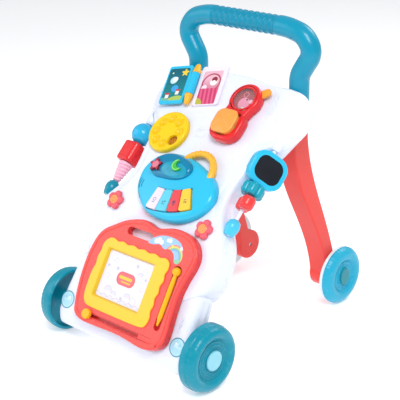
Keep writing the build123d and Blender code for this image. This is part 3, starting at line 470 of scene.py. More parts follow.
def plate_mesh(name, face, outlines, low, high, edge):
    """Flat moulding with rounded edges: the first outline is its rim, the others are holes in it."""
    curve = bpy.data.curves.new(name, "CURVE")
    curve.dimensions = "2D"
    curve.fill_mode = "BOTH"
    curve.extrude = (high - low) / 2 - edge
    curve.bevel_depth = edge
    curve.bevel_resolution = 4
    for number, outline in enumerate(outlines):
        line = curve.splines.new("POLY")
        shrunk = grown(outline, -edge if number == 0 else edge)
        line.points.add(len(shrunk) - 1)
        for point, (u, v) in zip(line.points, shrunk):
            point.co = (u, v, 0.0, 1.0)
        line.use_cyclic_u = True
    holder = bpy.data.objects.new(name, curve)
    bpy.context.scene.collection.objects.link(holder)
    bpy.context.view_layer.update()
    graph = bpy.context.evaluated_depsgraph_get()
    mesh = bpy.data.meshes.new_from_object(holder.evaluated_get(graph))
    bpy.data.objects.remove(holder)
    bpy.data.curves.remove(curve)
    mesh.transform(face.moved(0, 0, (low + high) / 2).matrix())
    return mesh


def plate(name, face, outlines, low, high, edge, body, material, slot, replaced=()):
    """A flat moulding as a finished piece."""
    mesh = plate_mesh(name, face, outlines, low, high, edge)
    return finish_mesh(name, mesh, body, material, slot, replaced)


def rounded_rim(distance, radius):
    """How far a rounded rim falls, at a distance inside it."""
    if distance >= radius:
        return 0.0
    return radius - sqrt(max(0.0, radius**2 - (radius - distance) ** 2))


def mound_points(face, outline, centre, height, low, rings):
    """Points and faces of a closed moulding whose top is a height over its outline."""
    points, count = [], len(outline)
    shares = [1 - (1 - i / rings) ** 1.6 for i in range(1, rings + 1)]
    points.append(face.at(*centre, height(centre[0], centre[1], 0.0, 99.0)))
    for share in shares:
        for u, v in outline:
            pu, pv = centre[0] + (u - centre[0]) * share, centre[1] + (v - centre[1]) * share
            rim = hypot(u - centre[0], v - centre[1]) * (1 - share)
            points.append(face.at(pu, pv, height(pu, pv, share, rim)))
    for u, v in outline:
        points.append(face.at(u, v, low))
    points.append(face.at(*centre, low))
    faces = [(0, 1 + j, 1 + (j + 1) % count) for j in range(count)]
    for i in range(rings):
        start = 1 + i * count
        for j in range(count):
            k = (j + 1) % count
            faces.append((start + j, start + k, start + count + k, start + count + j))
    base = 1 + rings * count
    end = len(points) - 1
    faces += [(base + j, base + (j + 1) % count, end) for j in range(count)]
    return points, faces


def mound(name, face, outline, centre, height, low, body, material, slot, replaced=(), rings=24):
    """Moulding with a shaped top: height(u, v, share, rim) is its top in millimetres."""
    points, faces = mound_points(face, outline, centre, height, low, rings)
    return finish_piece(name, points, faces, body, material, slot, replaced, smooth=radians(50))


def pipe_points(path, radius, around=16, up=(0, 0, 1)):
    """Points and faces of a closed tube along points in metres; radius(share, angle) is in millimetres."""
    points = []
    count = len(path)
    for i, here in enumerate(path):
        along = (path[min(i + 1, count - 1)] - path[max(i - 1, 0)]).normalized()
        side = along.cross(Vector(up)).normalized()
        rise = side.cross(along)
        for j in range(around):
            angle = tau * j / around
            r = radius(i / (count - 1), angle) * MM
            points.append(here + side * (cos(angle) * r) + rise * (sin(angle) * r))
    faces = strips(count, around, closed_columns=True)
    faces.append(tuple(range(around - 1, -1, -1)))
    faces.append(tuple(range((count - 1) * around, count * around)))
    return points, faces


def pipe(name, path, radius, body, material, slot, replaced=(), around=16, up=(0, 0, 1)):
    """Tube as a finished piece."""
    points, faces = pipe_points(path, radius, around, up)
    return finish_piece(name, points, faces, body, material, slot, replaced, smooth=radians(60))


def lathe(name, origin, axis, profile, body, material, slot, replaced=(), around=64, wobble=None):
    """Piece turned about an axis: profile lists (length, radius) in millimetres, closed back on the axis."""
    axis = Vector(axis).normalized()
    side = axis.orthogonal().normalized()
    rise = axis.cross(side)
    points = []
    for length, r in profile:
        for j in range(around):
            angle = tau * j / around
            reach_out = r + (wobble(length, angle) if wobble else 0.0)
            points.append(
                Vector(origin)
                + axis * (length * MM)
                + (side * cos(angle) + rise * sin(angle)) * (reach_out * MM)
            )
    faces = strips(len(profile), around, closed_columns=True)
    faces.append(tuple(range(around - 1, -1, -1)))
    faces.append(tuple(range((len(profile) - 1) * around, len(profile) * around)))
    return finish_piece(name, points, faces, body, material, slot, replaced, smooth=radians(45))


def join_mesh(name, parts, body, material, slot, replaced=()):
    """Several lists of points and faces as one piece."""
    points, faces = [], []
    for more_points, more_faces in parts:
        start = len(points)
        points += list(more_points)
        faces += [tuple(start + k for k in face) for face in more_faces]
    return finish_piece(name, points, faces, body, material, slot, replaced, smooth=radians(60))


# ---------------------------------------------------------------- panel skin
# Each station is a place along the face from the fold, the half width, the half width at the back, and
# how far the ear's edge falls back.
SHELL_STATIONS = [
    (-103.6, 92, 90, 0.5),
    (-100.6, 99, 97, 0.5),
    (-96.6, 105.5, 103.5, 0.5),
    (-90.6, 114, 112, 0.5),
    (-81.6, 121.5, 119, 0.5),
    (-68.6, 126, 124, 0.5),
    (-51.6, 127.2, 125.5, 0.5),
    (-33.6, 126.3, 124, 0.5),
    (-16.6, 121.5, 119, 0.5),
    (0, 114.5, 112.5, 0.5),
    (15.4, 106, 104, 0.5),
    (29.4, 98.5, 97, 0.5),
    (47.4, 93.5, 92, 0.5),
    (67.4, 94, 92, 0.5),
    (89.4, 97.5, 95.5, 0.5),
    (109.4, 99.5, 97.5, 0.5),
    (119.4, 102, 100, 0.5),
    (128.4, 106, 103, 0.8),
    (134.4, 110.5, 106.5, 1.5),
    (141.4, 119.5, 112, 3.5),
    (153.4, 130, 117, 6),
    (167.4, 138.5, 121.5, 9),
    (181.4, 143.2, 125.5, 11),
    (193.4, 144, 127, 12),
    (204.4, 141, 126, 11),
    (213.4, 135.5, 122.5, 9),
    (221.4, 128, 119, 7),
    (227.4, 120, 115, 4),
    (230.4, 113, 112, 2),
]
SHELL_DEPTH = 43.0
FOLD_SOFT = 18.0
CREASE_X = 95.0


def station_at(s):
    """Half width, back half width and fall at a place along the face."""
    rows = SHELL_STATIONS
    i = max(k for k in range(len(rows) - 1) if rows[k][0] <= s or k == 0)
    a, b = rows[i], rows[i + 1]
    t = max(0.0, min(1.0, (s - a[0]) / (b[0] - a[0])))
    before, after = rows[max(i - 1, 0)], rows[min(i + 2, len(rows) - 1)]
    made = []
    for k in (1, 2, 3):
        span = b[0] - a[0]
        slope_a = (b[k] - before[k]) / (b[0] - before[0]) * span
        slope_b = (after[k] - a[k]) / (after[0] - a[0]) * span
        made.append(
            a[k] * (2 * t**3 - 3 * t**2 + 1)
            + b[k] * (3 * t**2 - 2 * t**3)
            + slope_a * (t**3 - 2 * t**2 + t)
            + slope_b * (t**3 - t**2)
        )
    return made


def spine(s):
    """Middle line of the face and its outward direction, at a distance along it from the fold."""
    fold = BOARD.at(0, FOLD_V)
    if abs(s) >= FOLD_SOFT:
        face = PLAY if s > 0 else BOARD
        return fold + face.up * (s * MM), face.out
    low = (FOLD_SOFT - s) ** 2 / (4 * FOLD_SOFT)
    high = (FOLD_SOFT + s) ** 2 / (4 * FOLD_SOFT)
    place = fold + (PLAY.up * high - BOARD.up * low) * MM
    share = (s + FOLD_SOFT) / (2 * FOLD_SOFT)
    return place, (BOARD.out * (1 - share) + PLAY.out * share).normalized()


def soft_step(value):
    """Smooth ramp from 0 to 1."""
    t = max(0.0, min(1.0, value))
    return t * t * (3 - 2 * t)


def skin_height(x, s, wide):
    """Relief of the face: the finger recess over the drawing board, and the low border along both sides."""
    dent = ((x + 24) / 19) ** 2 + ((s + 6) / 8) ** 2
    border = soft_step((17.5 - (wide - abs(x))) / 4.5)
    ends = soft_step((s + 96) / 20) * soft_step((226 - s) / 16)
    deep = 0.8 + 0.9 * soft_step((s + 5) / 25)
    return -2.6 * max(0.0, 1 - dent) ** 2 - deep * border * ends


def skin_section(s, inset):
    """One cross-section of the panel's skin, from its left back edge round to its right one."""
    half, back, fall = station_at(s)
    soft = sizes().edge_radius
    wide = half - inset
    corner = wide - soft
    crease = min(CREASE_X, corner - 4)
    inner = wide - 26
    across = [inner * i / 12 for i in range(12)] + [inner + (corner - inner) * i / 14 for i in range(15)]
    side = []
    for x in across:
        drop = fall * max(0.0, (x - crease) / (corner - crease)) ** 1.6
        side.append((x, skin_height(x, s, wide) - inset - drop))
    low = side[-1][1]
    for i in range(1, 8):
        angle = radians(90 * i / 7)
        side.append((corner + soft * sin(angle), low - soft * (1 - cos(angle))))
    start = side[-1]
    for i in range(1, 9):
        share = i / 8
        bulge = 1.6 * sin(pi * share)
        side.append(
            (
                start[0] + (back - inset - start[0]) * share + bulge - 1.2 * share,
                start[1] + (-SHELL_DEPTH - start[1]) * share,
            )
        )
    left = [(-x, h) for x, h in side[:0:-1]]
    return left + side


def crown_shift(x, s):
    """How far the panel's top end rises along the face near its middle."""
    rise = 6.0 * max(0.0, 1 - (x / 60) ** 2)
    return rise * max(0.0, min(1.0, (s - 205) / 25)) ** 2


def shell_rows():
    """Places along the face and insets that make the skin, with both ends rounded over."""
    first, last = SHELL_STATIONS[0][0], SHELL_STATIONS[-1][0]
    soft = 5.0
    count = 104
    rows = [(first, 0.0)]
    rows += [(first + (last - soft - first) * i / count, 0.0) for i in range(1, count + 1)]
    for i in range(1, 8):
        angle = radians(90 * i / 7)
        rows.append((last - soft + soft * sin(angle), soft * (1 - cos(angle))))
    return rows


def shell_points():
    """Points and faces of the panel's outer skin."""
    points, columns = [], 0
    rows = shell_rows()
    for s, inset in rows:
        place, out = spine(s)
        along = PLAY.up if s > 0 else BOARD.up
        section = skin_section(s, inset)
        columns = len(section)
        for x, h in section:
            points.append(place + Vector((x, 0, 0)) * MM + out * (h * MM) + along * (crown_shift(x, s) * MM))
    faces = strips(len(rows), columns)
    faces.append(tuple(range(columns)))
    faces.append(tuple(range((len(rows) - 1) * columns, len(rows) * columns)))
    return points, faces


def raised_line(face, points, width, high):
    """Thin moulded line that stands out of the panel."""
    path = [face.at(u, v, 0.0) for u, v in points]

    def radius(share, angle):
        taper = min(1.0, 6 * min(share, 1 - share) + 0.35)
        return (width * abs(cos(angle)) + high * abs(sin(angle))) * taper

    return pipe_points(path, radius, 8, face.out)


class WALKER_OT_panel(bpy.types.Operator):
    """Smooth white skin of the panel, its back cover and its moulded lines"""

    bl_idname = "walker.panel"
    bl_label = "Panel"

    def execute(self, context):
        white = plastic("white_plastic", colours().body, 0.28, 0.23, 0.04, pattern=panel_painted_bounce, scatter=0.12)
        points, faces = shell_points()
        finish_piece(
            "panel_skin", points, faces, "frame", white, "body_white", ["front_shell"], smooth=radians(44)
        )
        lines = []
        for radius in (35.0, 38.5, 42.0, 45.5):
            arc = [
                (LOBE_UP[0] + radius * cos(radians(a)), LOBE_UP[1] + radius * sin(radians(a)))
                for a in range(-14, 38, 4)
            ]
            lines.append(raised_line(PLAY, arc, 0.7, 0.45))
        for turn in (0, 1, 2):
            swirl = [
                (-8 + (3 + 3.2 * turn) * cos(radians(a)), -2 + (3 + 3.2 * turn) * sin(radians(a)))
                for a in range(60 * turn, 60 * turn + 250, 14)
            ]
            lines.append(raised_line(PLAY, swirl, 0.6, 0.4))
        for side, at_v in ((-1, 30), (-1, 22), (1, -22), (1, -30)):
            wave = [(side * (104 + 1.5 * sin(i * 0.9)), at_v + i * 1.6) for i in range(-5, 6)]
            lines.append(raised_line(BOARD, wave, 0.6, 0.35))
        join_mesh("panel_lines", lines, "frame", white, "body_white")
        cover = plastic("cover_plastic", colours().body, 0.42, 0.05, 0.12)
        give("back_cover", cover)
        give("cover_screws", metal("screw_steel", tint("B9BBC0"), 0.35))
        give("upper_seats", white)
        give("spindle_rods", white)
        return {"FINISHED"}


def panel_painted_bounce(paint, base):
    """Painted reflection: pink bounce light from the red board, painted into the recess over the drawing board."""
    u, v, _out = paint.measure(BOARD)
    # Painted reflection: a soft pink patch stands for light bounced off the red board.
    patch = (1.0 - reach((u + 24) / 22, (v - 98.5) / 9)).held()
    return paint.mix(patch * 0.8, base, opaque(tint("F0BFCB")))


# ---------------------------------------------------------------- base skin
BASE_HALF_LOW, BASE_HALF_TOP = 125.0, 117.0
BASE_TOP_Z = 128.0


def rounded_corner(before, here, after, radius, steps=8):
    """Points of a round between two straight runs."""
    a, b = (before - here).normalized(), (after - here).normalized()
    half = a.angle(b) / 2
    cut = min(radius / tan(half), 0.49 * (before - here).length, 0.49 * (after - here).length)
    start, end = here + a * cut, here + b * cut
    made = []
    for i in range(steps + 1):
        t = i / steps
        made.append(start * (1 - t) ** 2 + here * (2 * t * (1 - t)) + end * t**2)
    return made


def base_outline():
    """Side view of the base as points in millimetres, walker's Y and height."""
    low, _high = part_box("base_shell")
    nose, floor = low.y / MM, low.z / MM

    def on_slope(v, out):
        p = BOARD.at(0, v, out)
        return Vector((p.y / MM, p.z / MM))

    corners = [
        (on_slope(22, -2.6), 14.0),
        (on_slope(-38, -2.4), 90.0),
        (Vector((nose + 0.4, 47)), 26.0),
        (Vector((nose + 0.8, floor)), 16.0),
        (Vector((nose + 41, floor)), 13.0),
        (Vector((nose + 56, 40)), 13.0),
        (Vector((nose + 62, 84)), 13.0),
        (on_slope(22, -36), 13.0),
    ]
    made = []
    for i, (here, radius) in enumerate(corners):
        before, after = corners[i - 1][0], corners[(i + 1) % len(corners)][0]
        made += rounded_corner(before, here, after, radius)
    return made


def base_points():
    """Points and faces of the base: its side view pushed across, with round side edges."""
    outline = base_outline()
    count = len(outline)
    soft = sizes().base_radius
    shares = [-1.0] * 10 + [k / 6 for k in range(-5, 6)] + [1.0] * 10
    insets = [soft + 1.6] + [soft * (1 - sin(radians(90 * i / 8))) for i in range(9)]
    insets = insets + [0.0] * 11 + insets[::-1]
    reaches = [0.0] + [soft * (1 - cos(radians(90 * i / 8))) for i in range(9)]
    reaches = reaches + [0.0] * 11 + reaches[::-1]
    points = []
    for share, inset, back in zip(shares, insets, reaches):
        moved = grown([tuple(p) for p in outline], -inset)
        for (y, z), flat in zip(moved, outline):
            rise = max(0.0, (flat.y - 62) / (BASE_TOP_Z - 62))
            half = BASE_HALF_LOW + (BASE_HALF_TOP - BASE_HALF_LOW) * rise
            x = share * (half - back if abs(share) == 1.0 else half - soft)
            points.append(Vector((x, y, z)) * MM)
    rows = len(shares)
    faces = strips(rows, count, closed_columns=True)
    faces.append(tuple(range(count)))
    faces.append(tuple(range((rows - 1) * count, rows * count)))
    return points, faces


class WALKER_OT_base(bpy.types.Operator):
    """White base between the front wheels, and its two round labels"""

    bl_idname = "walker.base"
    bl_label = "Base"

    def execute(self, context):
        white = plastic("base_plastic", colours().body, 0.3, 0.2, 0.05, scatter=0.12)
        points, faces = base_points()
        finish_piece("base_skin", points, faces, "frame", white, "base_white", ["base_shell"])
        give(
            "round_labels",
            plastic("label_marks_and_sheen", tint("A9DCF0"), 0.25, 0.25, 0.02, pattern=round_label_marks_and_sheen)
        )
        return {"FINISHED"}


def round_label_marks_and_sheen(paint, base):
    """Dark ring, a painted sheen that makes each label's upper half paler, and a few soft shapes on each round label.
    """
    low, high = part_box("round_labels")
    slope = radians(60.3)
    centre = (low + high) / 2
    face = Face(centre, (0, -sin(slope), cos(slope)))
    u, v, _out = paint.measure(face)
    side = abs(u) - 110.0
    # Painted sheen: the upper half of each label is painted a paler blue.
    base = paint.mix(hill(side, v, 0.0, -1.0, 6.5) * 0.55, base, opaque(tint("D6F0FA")))
    base = paint.mix(disc(side, v, -3.5, 4.0, 1.8) * 0.7, base, opaque(tint("F3FBFF")))
    base = paint.mix(disc(side, v, 3.5, 3.0, 2.4) * 0.6, base, opaque(tint("7FC4DE")))
    base = paint.mix(ring(side, v, 0.0, 0.0, 9.8, 0.5) * 0.5, base, opaque(tint("E8F7FD")))
    return paint.mix(ring(side, v, 0.0, 0.0, 12.3, 1.2), base, opaque(tint("1F7F98")))


# ---------------------------------------------------------------- legs, wheels and handle
class WALKER_OT_legs(bpy.types.Operator):
    """Both coral legs"""

    bl_idname = "walker.legs"
    bl_label = "Legs"

    def execute(self, context):
        coral = plastic("coral_plastic", colours().leg, 0.33, 0.15, 0.07, scatter=0.08)
        for _side, name in SIDES:
            give(f"leg_{name}", coral)
        return {"FINISHED"}


class WALKER_OT_wheels(bpy.types.Operator):
    """Finishes of the four wheels, their caps and the axles"""

    bl_idname = "walker.wheels"
    bl_label = "Wheels"

    def execute(self, context):
        front = plastic("front_wheel_plastic", colours().wheel, 0.34, 0.15, 0.08, pattern=tread_marks)
        rear = plastic("rear_wheel_plastic", colours().rear_wheel, 0.32, 0.15, 0.08, pattern=tread_marks)
        rim = plastic("rim_plastic", tint("DDE9EE"), 0.36, 0.12, 0.06)
        front_cap = plastic("front_cap_plastic", tint("8FD3E4"), 0.3, 0.2, 0.05)
        rear_cap = plastic("rear_cap_plastic", tint("0E8795"), 0.3, 0.2, 0.05)
        steel = metal("axle_steel", tint("B4B6BA"), 0.3)
        for side, name in SIDES:
            self.wheel(f"front_wheel_{name}", side, FRONT_WHEEL, front, "teal", f"wheel_front_{name}", 40)
            self.wheel(f"rear_wheel_{name}", side, REAR_WHEEL, rear, "cyan", f"wheel_rear_{name}", 44)
            give(f"rear_rim_{name}", rim)
            give(f"front_cap_{name}", front_cap)
            give(f"rear_cap_{name}", rear_cap)
        give("front_axle", steel)
        give("rear_axles", steel)
        return {"FINISHED"}


    def wheel(self, node, side, section, material, slot, body, flutes):
        """Turned wheel with shallow flutes over its shoulder."""
        low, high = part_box(node)
        centre = (low + high) / 2
        outer = high.x if side > 0 else -low.x
        centre.x = side * outer

        def flute(length, angle):
            over = max(0.0, 1 - abs(length + 9.5) / 8.5)
            return -0.7 * over * max(0.0, cos(flutes * angle)) ** 3

        lathe(f"{node}_skin", centre, (side, 0, 0), section, body, material, slot, [node], 176, flute)


# Half sections of the wheels, from the hub's inner end round the rim to the middle of the face. Each point is
# a distance in from the outer face, and a radius.
FRONT_WHEEL = [
    (-28.5, 3.1), (-28.5, 9), (-7.5, 9), (-7.5, 39), (-10, 42), (-24.5, 42.5), (-24.5, 45.5), (-23, 47)
]
FRONT_WHEEL += [(-23 + 0.75 * i, 47) for i in range(1, 13)]
FRONT_WHEEL += spline(
    [(-13.4, 46.9), (-12.2, 46.1), (-9.5, 45.7), (-6, 44.7), (-3, 42.6), (-1, 39.8), (-0.2, 36.8), (-0.8, 33.8),
     (-2.6, 31), (-5, 28.6), (-5.6, 27.4), (-4.4, 26.4), (-4.4, 25.2), (-5.5, 24.3), (-5.5, 22.8), (-4.5, 22),
     (-4.5, 20.8), (-5.5, 20), (-5.5, 18.6), (-4.6, 17.8), (-4.6, 16.8), (-5.4, 16), (-5.4, 15.2),
     (-3.9, 14.6)],
    3, closed=False,
)
FRONT_WHEEL += [(-3.9, 0.5)]
REAR_WHEEL = [(-12.5, 3.1), (-12.5, 44.4), (-11.9, 45), (-9.6, 45)]
REAR_WHEEL += spline(
    [(-9.2, 44.8), (-8, 44.2), (-6, 43.2), (-3, 40.6), (-1.2, 37.4), (-0.2, 33.6), (-0.4, 29.6), (-2, 26.6),
     (-4.4, 24.6), (-5, 23.6), (-4.1, 22.6), (-4.1, 21.4), (-5, 20.6), (-5, 19.2), (-4.2, 18.4), (-4.2, 17.2),
     (-4.9, 16.4), (-4.9, 15.2), (-3.4, 14.6)],
    3, closed=False,
)
REAR_WHEEL += [(-3.4, 0.5)]


def tread_marks(paint, base):
    """Slight scuffing where a wheel rolls."""
    scuff = (paint.noise(140.0, 5.0) * 3.0 - 1.7).held()
    return paint.mix(scuff * 0.12, base, opaque(tint("CFE6EA")))


class WALKER_OT_handle(bpy.types.Operator):
    """Teal handle with its ribbed grip"""

    bl_idname = "walker.handle"
    bl_label = "Push handle"

    def execute(self, context):
        give("handle_bar", plastic("handle_plastic", colours().handle, 0.3, 0.2, 0.05))
        grip = plastic("grip_plastic", colours().grip, 0.36, 0.12, 0.08)
        low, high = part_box("handle_grip")
        middle_line = (low + high) / 2
        radius = (high.z - low.z) / 2 / MM
        length = (high.x - low.x) / MM
        ribs = sizes().grip_ribs
        steps = ribs * 12
        profile = []
        for i in range(steps + 1):
            place = (i / steps * ribs + 0.5) % 1.0
            rise = max(0.0, cos(tau * (place - 0.5))) ** 0.6
            profile.append((-length / 2 + length * i / steps, radius - 1.4 + 1.35 * rise))
        lathe(
            "grip_sleeve", middle_line, (1, 0, 0), profile, "frame", grip, "grip_teal", ["handle_grip"],
            around=48
        )
        return {"FINISHED"}


# ---------------------------------------------------------------- drawing board
BOARD_TOP = 12.0
BOARD_RIM = [
    (-80, -63), (-87, -38), (-91.5, 2), (-88, 38), (-79, 56), (-64, 67), (-46, 78), (-27, 85), (-5, 88),
    (16, 83.5), (38, 88.5), (66, 90), (89, 81), (101, 60), (97, 34), (93, 8), (94, -19), (96.5, -45),
    (94.5, -61), (84, -71), (30, -74), (-48, -75), (-70, -72),
]
SCREEN_HALF_U, SCREEN_HALF_V = 46.0, 35.5
BEZEL_TOP = 14.6


def bezel_outline():
    """Wavy outline of the bezel, like a slice of bread."""
    bumps = [
        (-66, 38), (-59, 47.5), (-50, 49.8), (-40.5, 47.4), (-31, 49.4), (-21, 47.2), (-10.5, 49.2), (0, 47),
        (10.5, 49), (21, 46.8), (31.5, 48.8), (42, 46.4), (52, 48), (60, 44), (62.5, 36), (60, 27),
        (61.8, 18),
        (58.8, 9.5), (60.6, 0.5), (57.8, -8), (60, -17), (58.4, -26), (61, -35.5), (58.5, -46),
        (50, -51), (20, -52),
        (-20, -52.2), (-52, -51.8), (-63, -47.5), (-68, -37), (-69.3, -20), (-69.2, -4), (-66.8, 7),
        (-68.2, 18),
        (-65.8, 28),
    ]
    return spline(bumps, 5)


class WALKER_OT_board(bpy.types.Operator):
    """Drawing board with its bezel, screen print, sky label, pen and eraser"""

    bl_idname = "walker.board"
    bl_label = "Drawing board"

    def execute(self, context):
        coral = plastic("board_plastic", colours().board, 0.27, 0.23, 0.04, pattern=board_painted_shade, scatter=0.06)
        give("board_frame", coral)
        give("board_screen", plastic("screen_print", tint("E9E6F6"), 0.35, 0.15, 0.03, pattern=screen_print))
        yellow = plastic("bezel_plastic", colours().bezel, 0.33, 0.15, 0.05, pattern=bezel_tints)
        outer = bezel_outline()
        hole = rounded_box(SCREEN_U, 0, SCREEN_HALF_U, SCREEN_HALF_V, 3.0)
        plate(
            "bezel", BOARD, [outer, hole], BOARD_TOP, BEZEL_TOP, 1.2, "board", yellow, "bezel_yellow",
            ["board_bezel"]
        )
        slope = bezel_slope()
        finish_piece("bezel_slope", *slope, "board", yellow, "bezel_yellow")
        bead = grown(spline(BOARD_RIM, 6), -6.5)
        path = [BOARD.at(u, v, BOARD_TOP + 0.05) for u, v in bead + bead[:1]]
        pipe("board_bead", path, lambda share, angle: 0.9, "board", coral, "board_coral", (), 10, BOARD.out)
        label = spline(
            [
                (11, 61), (19, 70), (33, 76), (50, 77.5), (66, 74), (75, 64), (77, 52), (72, 45.5),
                (66, 47), (62, 55.5), (52, 61), (42, 59), (32, 63), (20, 60)
            ],
            5
        )
        sky = plastic("sky_label", tint("9CC6E8"), 0.28, 0.2, 0.02, pattern=sky_print)
        plate("sky_label", BOARD, [label], BOARD_TOP - 0.3, BOARD_TOP + 0.5, 0.25, "board", sky, "label_blue")
        give("drawing_pen", plastic("pen_plastic", colours().pen, 0.3, 0.2, 0.05))
        give("eraser_slider", plastic("eraser_plastic", colours().pen, 0.32, 0.2, 0.05))
        return {"FINISHED"}


def bezel_slope():
    """Sloping inner wall between the bezel's top and the screen."""
    points = []
    rows = (
        (0.0, BEZEL_TOP - 0.5), (1.4, BEZEL_TOP - 2.6), (2.2, BOARD_TOP - 3.4), (-1.5, BOARD_TOP - 3.4),
        (-1.5, BEZEL_TOP - 0.9)
    )
    for shift, h in rows:
        outline = rounded_box(SCREEN_U, 0, SCREEN_HALF_U - shift, SCREEN_HALF_V - shift, 3.0)
        points += [BOARD.at(u, v, h) for u, v in outline]
    count = len(points) // len(rows)
    return points, strips(len(rows), count, closed_rows=True, closed_columns=True)


def bezel_tints(paint, base):
    """The bezel's inner slope is a deeper yellow."""
    u, v, _out = paint.measure(BOARD)
    far = (abs(u - SCREEN_U) - SCREEN_HALF_U).most(abs(v) - SCREEN_HALF_V)
    return paint.mix(inside(far, 0.5), base, opaque(tint("E3B92E")))


def board_painted_shade(paint, base):
    """Painted shade: dark lines where the grooves beside the eraser's track lie, a small dark dot, and deeper red on
    everything low down in the slots and down the frame's sides.
    """
    u, v, out = paint.measure(BOARD)
    # Painted shade: deeper red on everything below 10.6 mm, low in the slots and down the sides.
    deep = inside(out - 10.6, 2.5)
    base = paint.mix(deep * 0.75, base, opaque(tint("D22B30")))
    # Painted shade: two dark lines for the grooves beside the eraser's track.
    for at_v in (-59.5, -66.5):
        base = paint.mix(bar(u, v, 12.0, at_v, 62.0, 0.45), base, opaque(tint("B5242B")))
    base = paint.mix(disc(u, v, 86.0, -66.0, 1.3), base, opaque(tint("A81D25")))
    return base


def screen_print(paint, base):
    """Faint printed doodles round a plain pill on the drawing screen."""
    u, v, _out = paint.measure(BOARD)
    u = u - SCREEN_U
    ink = opaque(tint("B9B8DC"))
    faint = opaque(tint("CFCDE8"))
    for at_u, at_v, radius in (
        (-32, 25, 5), (-26, 22, 3.4), (30, 20, 4.2), (34, -4, 3), (26, -24, 5.5), (-34, -2, 3.6)
    ):
        base = paint.mix(ring(u, v, at_u, at_v, radius, 0.9) * 0.8, base, faint)
    for at_u, at_v, size in ((-20, 12, 3.4), (14, 24, 3.6), (36, 10, 2.8), (-38, 12, 2.8), (4, -26, 3.2)):
        base = paint.mix(star_mask(paint, u, v, at_u, at_v, size) * 0.75, base, ink)
    for at_u, at_v, size in ((-24, -22, 7.0), (-12, -25, 5.0), (14, -22, 6.0), (24, 12, 5.0)):
        outer = hill(u, v, at_u, at_v, size)
        base = paint.mix(outer * 0.45, base, faint)
        base = paint.mix(ring(u, v, at_u, at_v, size, 0.7) * inside(at_v - v) * 0.8, base, ink)
    wavy = abs(v + 29.0 + (u * 0.5).wave() * 1.3) - 0.5
    base = paint.mix(inside(wavy) * 0.7, base, ink)
    base = paint.mix(bar(u, v, 1.0, 1.0, 17.5, 9.5, 9.0), base, opaque(tint("E8626B")))
    base = paint.mix(bar(u, v, 1.0, 1.0, 15.6, 7.8, 7.4) * 0.5, base, opaque(tint("EE7A80")))
    base = paint.mix(bar(u, v, 0.0, 2.4, 12.5, 2.2, 2.0), base, opaque(tint("F4C84A")))
    return paint.mix(bar(u, v, 2.5, -3.4, 9.0, 1.0, 0.9), base, opaque(tint("F4C84A")))


def sky_print(paint, base):
    """Clouds, a rainbow and a hill on the sky label."""
    u, v, _out = paint.measure(BOARD)
    for radius, colour in ((17.0, "E7878B"), (15.0, "F2CF63"), (13.0, "8CCB8C"), (11.0, "7FA6E0")):
        base = paint.mix(ring(u, v, 62.0, 52.0, radius, 1.9), base, opaque(tint(colour)))
    for at_u, at_v, radius in (
        (24, 66, 3.4), (29, 68, 4.2), (34, 66.5, 3.4), (44, 72, 2.6), (48, 72.5, 3.2), (71, 67, 2.4)
    ):
        base = paint.mix(disc(u, v, at_u, at_v, radius), base, opaque(tint("EFF6FD")))
    base = paint.mix(disc(u, v, 72.0, 42.0, 10.0), base, opaque(tint("8FCBA6")))
    return paint.mix(disc(u, v, 55.0, 66.0, 2.2), base, opaque(tint("F6D76A")))


# ---------------------------------------------------------------- piano unit
PIANO_RIM = [
    (-48, -119.5), (-59, -100), (-61, -79), (-50, -58), (-29, -47.5), (-5, -45), (21, -49), (44, -57),
    (66, -68),
    (79, -84), (82, -102), (70, -125), (44, -141.5), (11, -145.5), (-21, -139.5),
]
DOME_RIM = [
    (-43, -81), (-44, -72), (-39.5, -61), (-27, -52.5), (-11, -49.5), (7, -52), (21, -57.5), (28, -66),
    (27, -75), (18.5, -83.5), (3.5, -88.5), (-15, -90), (-31, -89.5),
]
PIANO_TOP, DOME_TOP = 14.0, 22.0
FAN_U, FAN_V, FAN_IN, FAN_OUT = -3.3, -10.5, 94.0, 127.0
FAN_LOW, FAN_HIGH = -95.3, -59.9
KEY_ANGLES = (-90.8, -82.0, -73.2, -64.4)
STAR_U, STAR_V = -30.5, -76.0
MOON_U, MOON_V = 6.0, -68.5
RING_U, RING_V, RING_R, RING_H = 27.5, -65.5, 29.5, 8.2


def fan_outline(grow):
    """Outline of the well that the keys lie in."""
    spread = degrees(grow / FAN_OUT)
    angles = [FAN_LOW - spread + (FAN_HIGH - FAN_LOW + 2 * spread) * i / 20 for i in range(21)]
    outer = [
        (
            FAN_U + (FAN_OUT + grow) * cos(radians(a)), FAN_V + (FAN_OUT + grow) * sin(radians(a))
        ) for a in angles
    ]
    inner = [
        (FAN_U + (FAN_IN - grow) * cos(radians(a)), FAN_V + (FAN_IN - grow) * sin(radians(a))) for a in angles
    ]
    return outer + inner[::-1]


def prism(face, outline, low, high):
    """Points and faces of a straight prism over an outline."""
    count = len(outline)
    points = [face.at(u, v, low) for u, v in outline] + [face.at(u, v, high) for u, v in outline]
    faces = [(j, (j + 1) % count, count + (j + 1) % count, count + j) for j in range(count)]
    faces += [tuple(range(count - 1, -1, -1)), tuple(range(count, 2 * count))]
    return points, faces


def cut_with(piece, points, faces):
    """Take a closed shape out of a piece."""
    mesh = bpy.data.meshes.new("cutter")
    mesh.from_pydata([tuple(p) for p in points], [], faces)
    work = bmesh.new()
    work.from_mesh(mesh)
    bmesh.ops.recalc_face_normals(work, faces=work.faces)
    work.to_mesh(mesh)
    work.free()
    cutter = bpy.data.objects.new("cutter", mesh)
    bpy.context.scene.collection.objects.link(cutter)
    modifier = piece.modifiers.new("cut", "BOOLEAN")
    modifier.operation = "DIFFERENCE"
    modifier.solver = "EXACT"
    modifier.object = cutter
    baked(piece)
    bpy.data.objects.remove(cutter)
    bpy.data.meshes.remove(mesh)
    return piece


